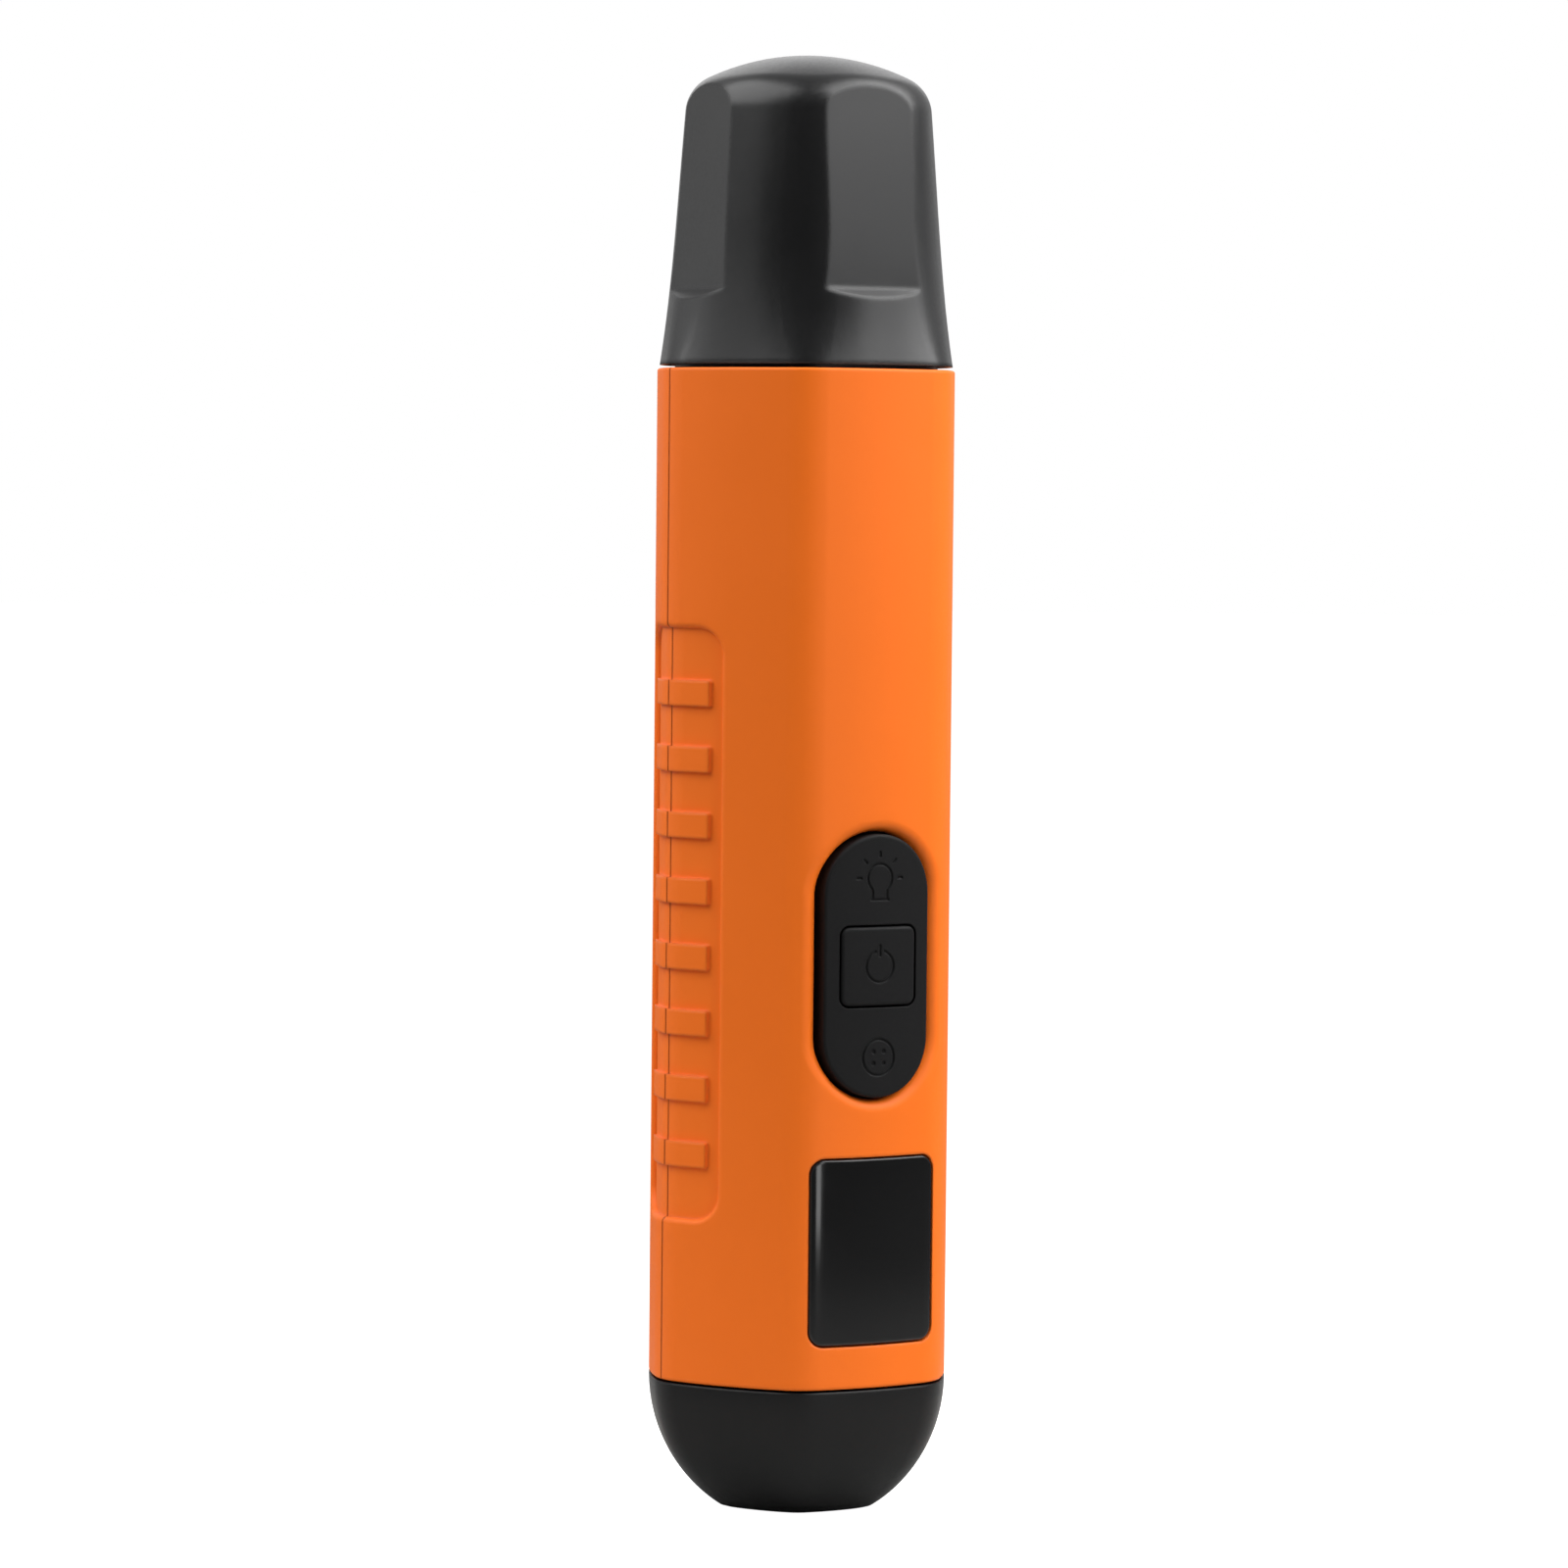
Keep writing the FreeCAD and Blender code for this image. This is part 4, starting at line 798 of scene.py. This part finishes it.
@dataclass
class SoftBox:
    """A large soft light aimed at the middle of the tester."""

    name: str
    azimuth: float
    elevation: float
    distance: float
    width: float
    height: float
    glow: float

    def build(self, aim: Vector) -> None:
        """Place the light on its bearing and point it at the aim.

        Args:
            aim: the point that the light faces.
        """
        data = bpy.data.lights.new(self.name, "AREA")
        data.shape = "RECTANGLE"
        data.size = self.width
        data.size_y = self.height
        data.energy = self.glow * math.pi * self.width * self.height
        lamp = bpy.data.objects.new(self.name, data)
        bpy.context.scene.collection.objects.link(lamp)
        lamp.visible_camera = False
        lamp.location = aim + self.distance * bearing(self.azimuth, self.elevation)
        lamp.rotation_euler = (aim - lamp.location).to_track_quat("-Z", "Y").to_euler()


def bearing(azimuth: float, elevation: float) -> Vector:
    """Unit vector from the tester towards a place round it.

    Args:
        azimuth: degrees round from the front, towards the right.
        elevation: degrees up from level.

    Returns:
        The unit vector.
    """
    turn = math.radians(azimuth)
    rise = math.radians(elevation)
    return Vector((math.sin(turn) * math.cos(rise), -math.cos(turn) * math.cos(rise), math.sin(rise)))


@dataclass
class Studio:
    """Pale floor, white surround, soft boxes and the camera."""

    floor_radius: float = 6.0
    floor_colour: str = "#B4B4B2"
    floor_lift: float = 1.0
    dark_level: float = 0.07
    pale_level: float = 0.55
    dark_facing: float = 0.5
    pale_facing: float = -0.8
    camera_azimuth: float = -31.0
    camera_distance: float = 0.905
    camera_height: float = 0.1425
    aim_height: float = 0.0997
    aim_side: float = -0.0025
    roll: float = 0.55
    lens: float = 150.4
    sensor_width: float = 36.0
    view_depth: float = 50.0
    boxes: list[SoftBox] = field(default_factory=lambda: [
        SoftBox("key_box", 48.0, 46.0, 0.52, 0.54, 0.54, 5.5),
        SoftBox("edge_strip", 4.0, -4.0, 0.36, 0.045, 0.26, 4.0),
        SoftBox("left_high_box", -104.0, 48.0, 0.66, 0.66, 0.62, 3.5),
        SoftBox("left_low_box", -135.0, 4.0, 0.90, 0.60, 0.90, 0.6),
        SoftBox("back_box", 150.0, 30.0, 1.00, 0.60, 0.60, 1.0),
    ])

    def build(self) -> None:
        """Make the floor, the light and the camera."""
        self.build_floor()
        self.build_world()
        middle = Vector((0.0, 0.0, self.aim_height))
        for box in self.boxes:
            box.build(middle)
            log.info("lit %s", box.name)
        self.build_camera()

    def build_floor(self) -> None:
        """Lay a wide round floor under the tester, with painted shade further out, lifted to white where it
        is seen directly.
        """
        form = bmesh.new()
        bmesh.ops.create_circle(form, cap_ends=True, segments=96, radius=self.floor_radius)
        floor = finished_mesh("studio_floor", form)
        # The paper carries painted shade further out, which glossy faces mirror
        paper = StageFinish("white_paper_matte", self.floor_colour, 0.9, mottle=0.01, mottle_mm=300.0,
                            grain_mm=1.0, edge_tone=0.0)
        dress(floor, paper)
        tree = paper.material().node_tree
        shader = next(node for node in tree.nodes if node.type == "BSDF_PRINCIPLED")
        ray = add_node(tree, "ShaderNodeLightPath")
        lift = add_node(tree, "ShaderNodeMath", {"operation": "MULTIPLY", 1: self.floor_lift},
                        {0: ray.outputs["Is Camera Ray"]})
        shader.inputs["Emission Color"].default_value = (1.0, 1.0, 1.0, 1.0)
        tree.links.new(lift.outputs[0], shader.inputs["Emission Strength"])

    def build_world(self) -> None:
        """Surround the scene with white that falls off towards the camera, so that blacks stay deep."""
        world = bpy.data.worlds.new("white_surround")
        world.use_nodes = True
        tree = world.node_tree
        tree.nodes.clear()
        place = add_node(tree, "ShaderNodeTexCoord")
        facing = add_node(tree, "ShaderNodeVectorMath",
                          {"operation": "DOT_PRODUCT", 1: bearing(self.camera_azimuth, 0.0)},
                          {0: place.outputs["Generated"]})
        level = add_node(tree, "ShaderNodeMapRange",
                         {"From Min": self.pale_facing, "From Max": self.dark_facing,
                          "To Min": self.pale_level, "To Max": self.dark_level},
                         {"Value": facing.outputs["Value"]})
        ray = add_node(tree, "ShaderNodeLightPath")
        seen = add_node(tree, "ShaderNodeMix", {"data_type": "FLOAT", 3: 1.0},
                        {0: ray.outputs["Is Camera Ray"], 2: level.outputs[0]})
        glow = add_node(tree, "ShaderNodeBackground", {"Color": (1.0, 1.0, 1.0, 1.0)},
                        {"Strength": seen.outputs[0]})
        add_node(tree, "ShaderNodeOutputWorld", {}, {"Surface": glow.outputs[0]})
        bpy.context.scene.world = world
        bpy.context.scene.view_settings.view_transform = "Standard"

    def build_camera(self) -> None:
        """Stand a long-lens camera at the front left of the tester."""
        data = bpy.data.cameras.new("camera")
        data.lens = self.lens
        data.sensor_width = self.sensor_width
        data.clip_end = self.view_depth
        camera = bpy.data.objects.new("camera", data)
        bpy.context.scene.collection.objects.link(camera)
        away = bearing(self.camera_azimuth, 0.0)
        right = Vector((0.0, 0.0, 1.0)).cross(away)
        shift = right * self.aim_side
        camera.location = away * self.camera_distance + shift + Vector((0.0, 0.0, self.camera_height))
        aim = shift + Vector((0.0, 0.0, self.aim_height))
        level = (aim - camera.location).to_track_quat("-Z", "Y").to_matrix()
        camera.rotation_euler = (level @ Matrix.Rotation(math.radians(self.roll), 3, "Z")).to_euler()
        bpy.context.scene.camera = camera


def main() -> None:
    """Build and dress every piece, then the studio."""
    logging.basicConfig(level=logging.INFO, format="%(message)s")
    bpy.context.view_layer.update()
    for part in (Casing(), Display(), Keypad(), Electronics(), Nose(), ProbeCap(), Tail(), CellPair()):
        part.build()
    Studio().build()


if __name__ == "__main__":
    main()
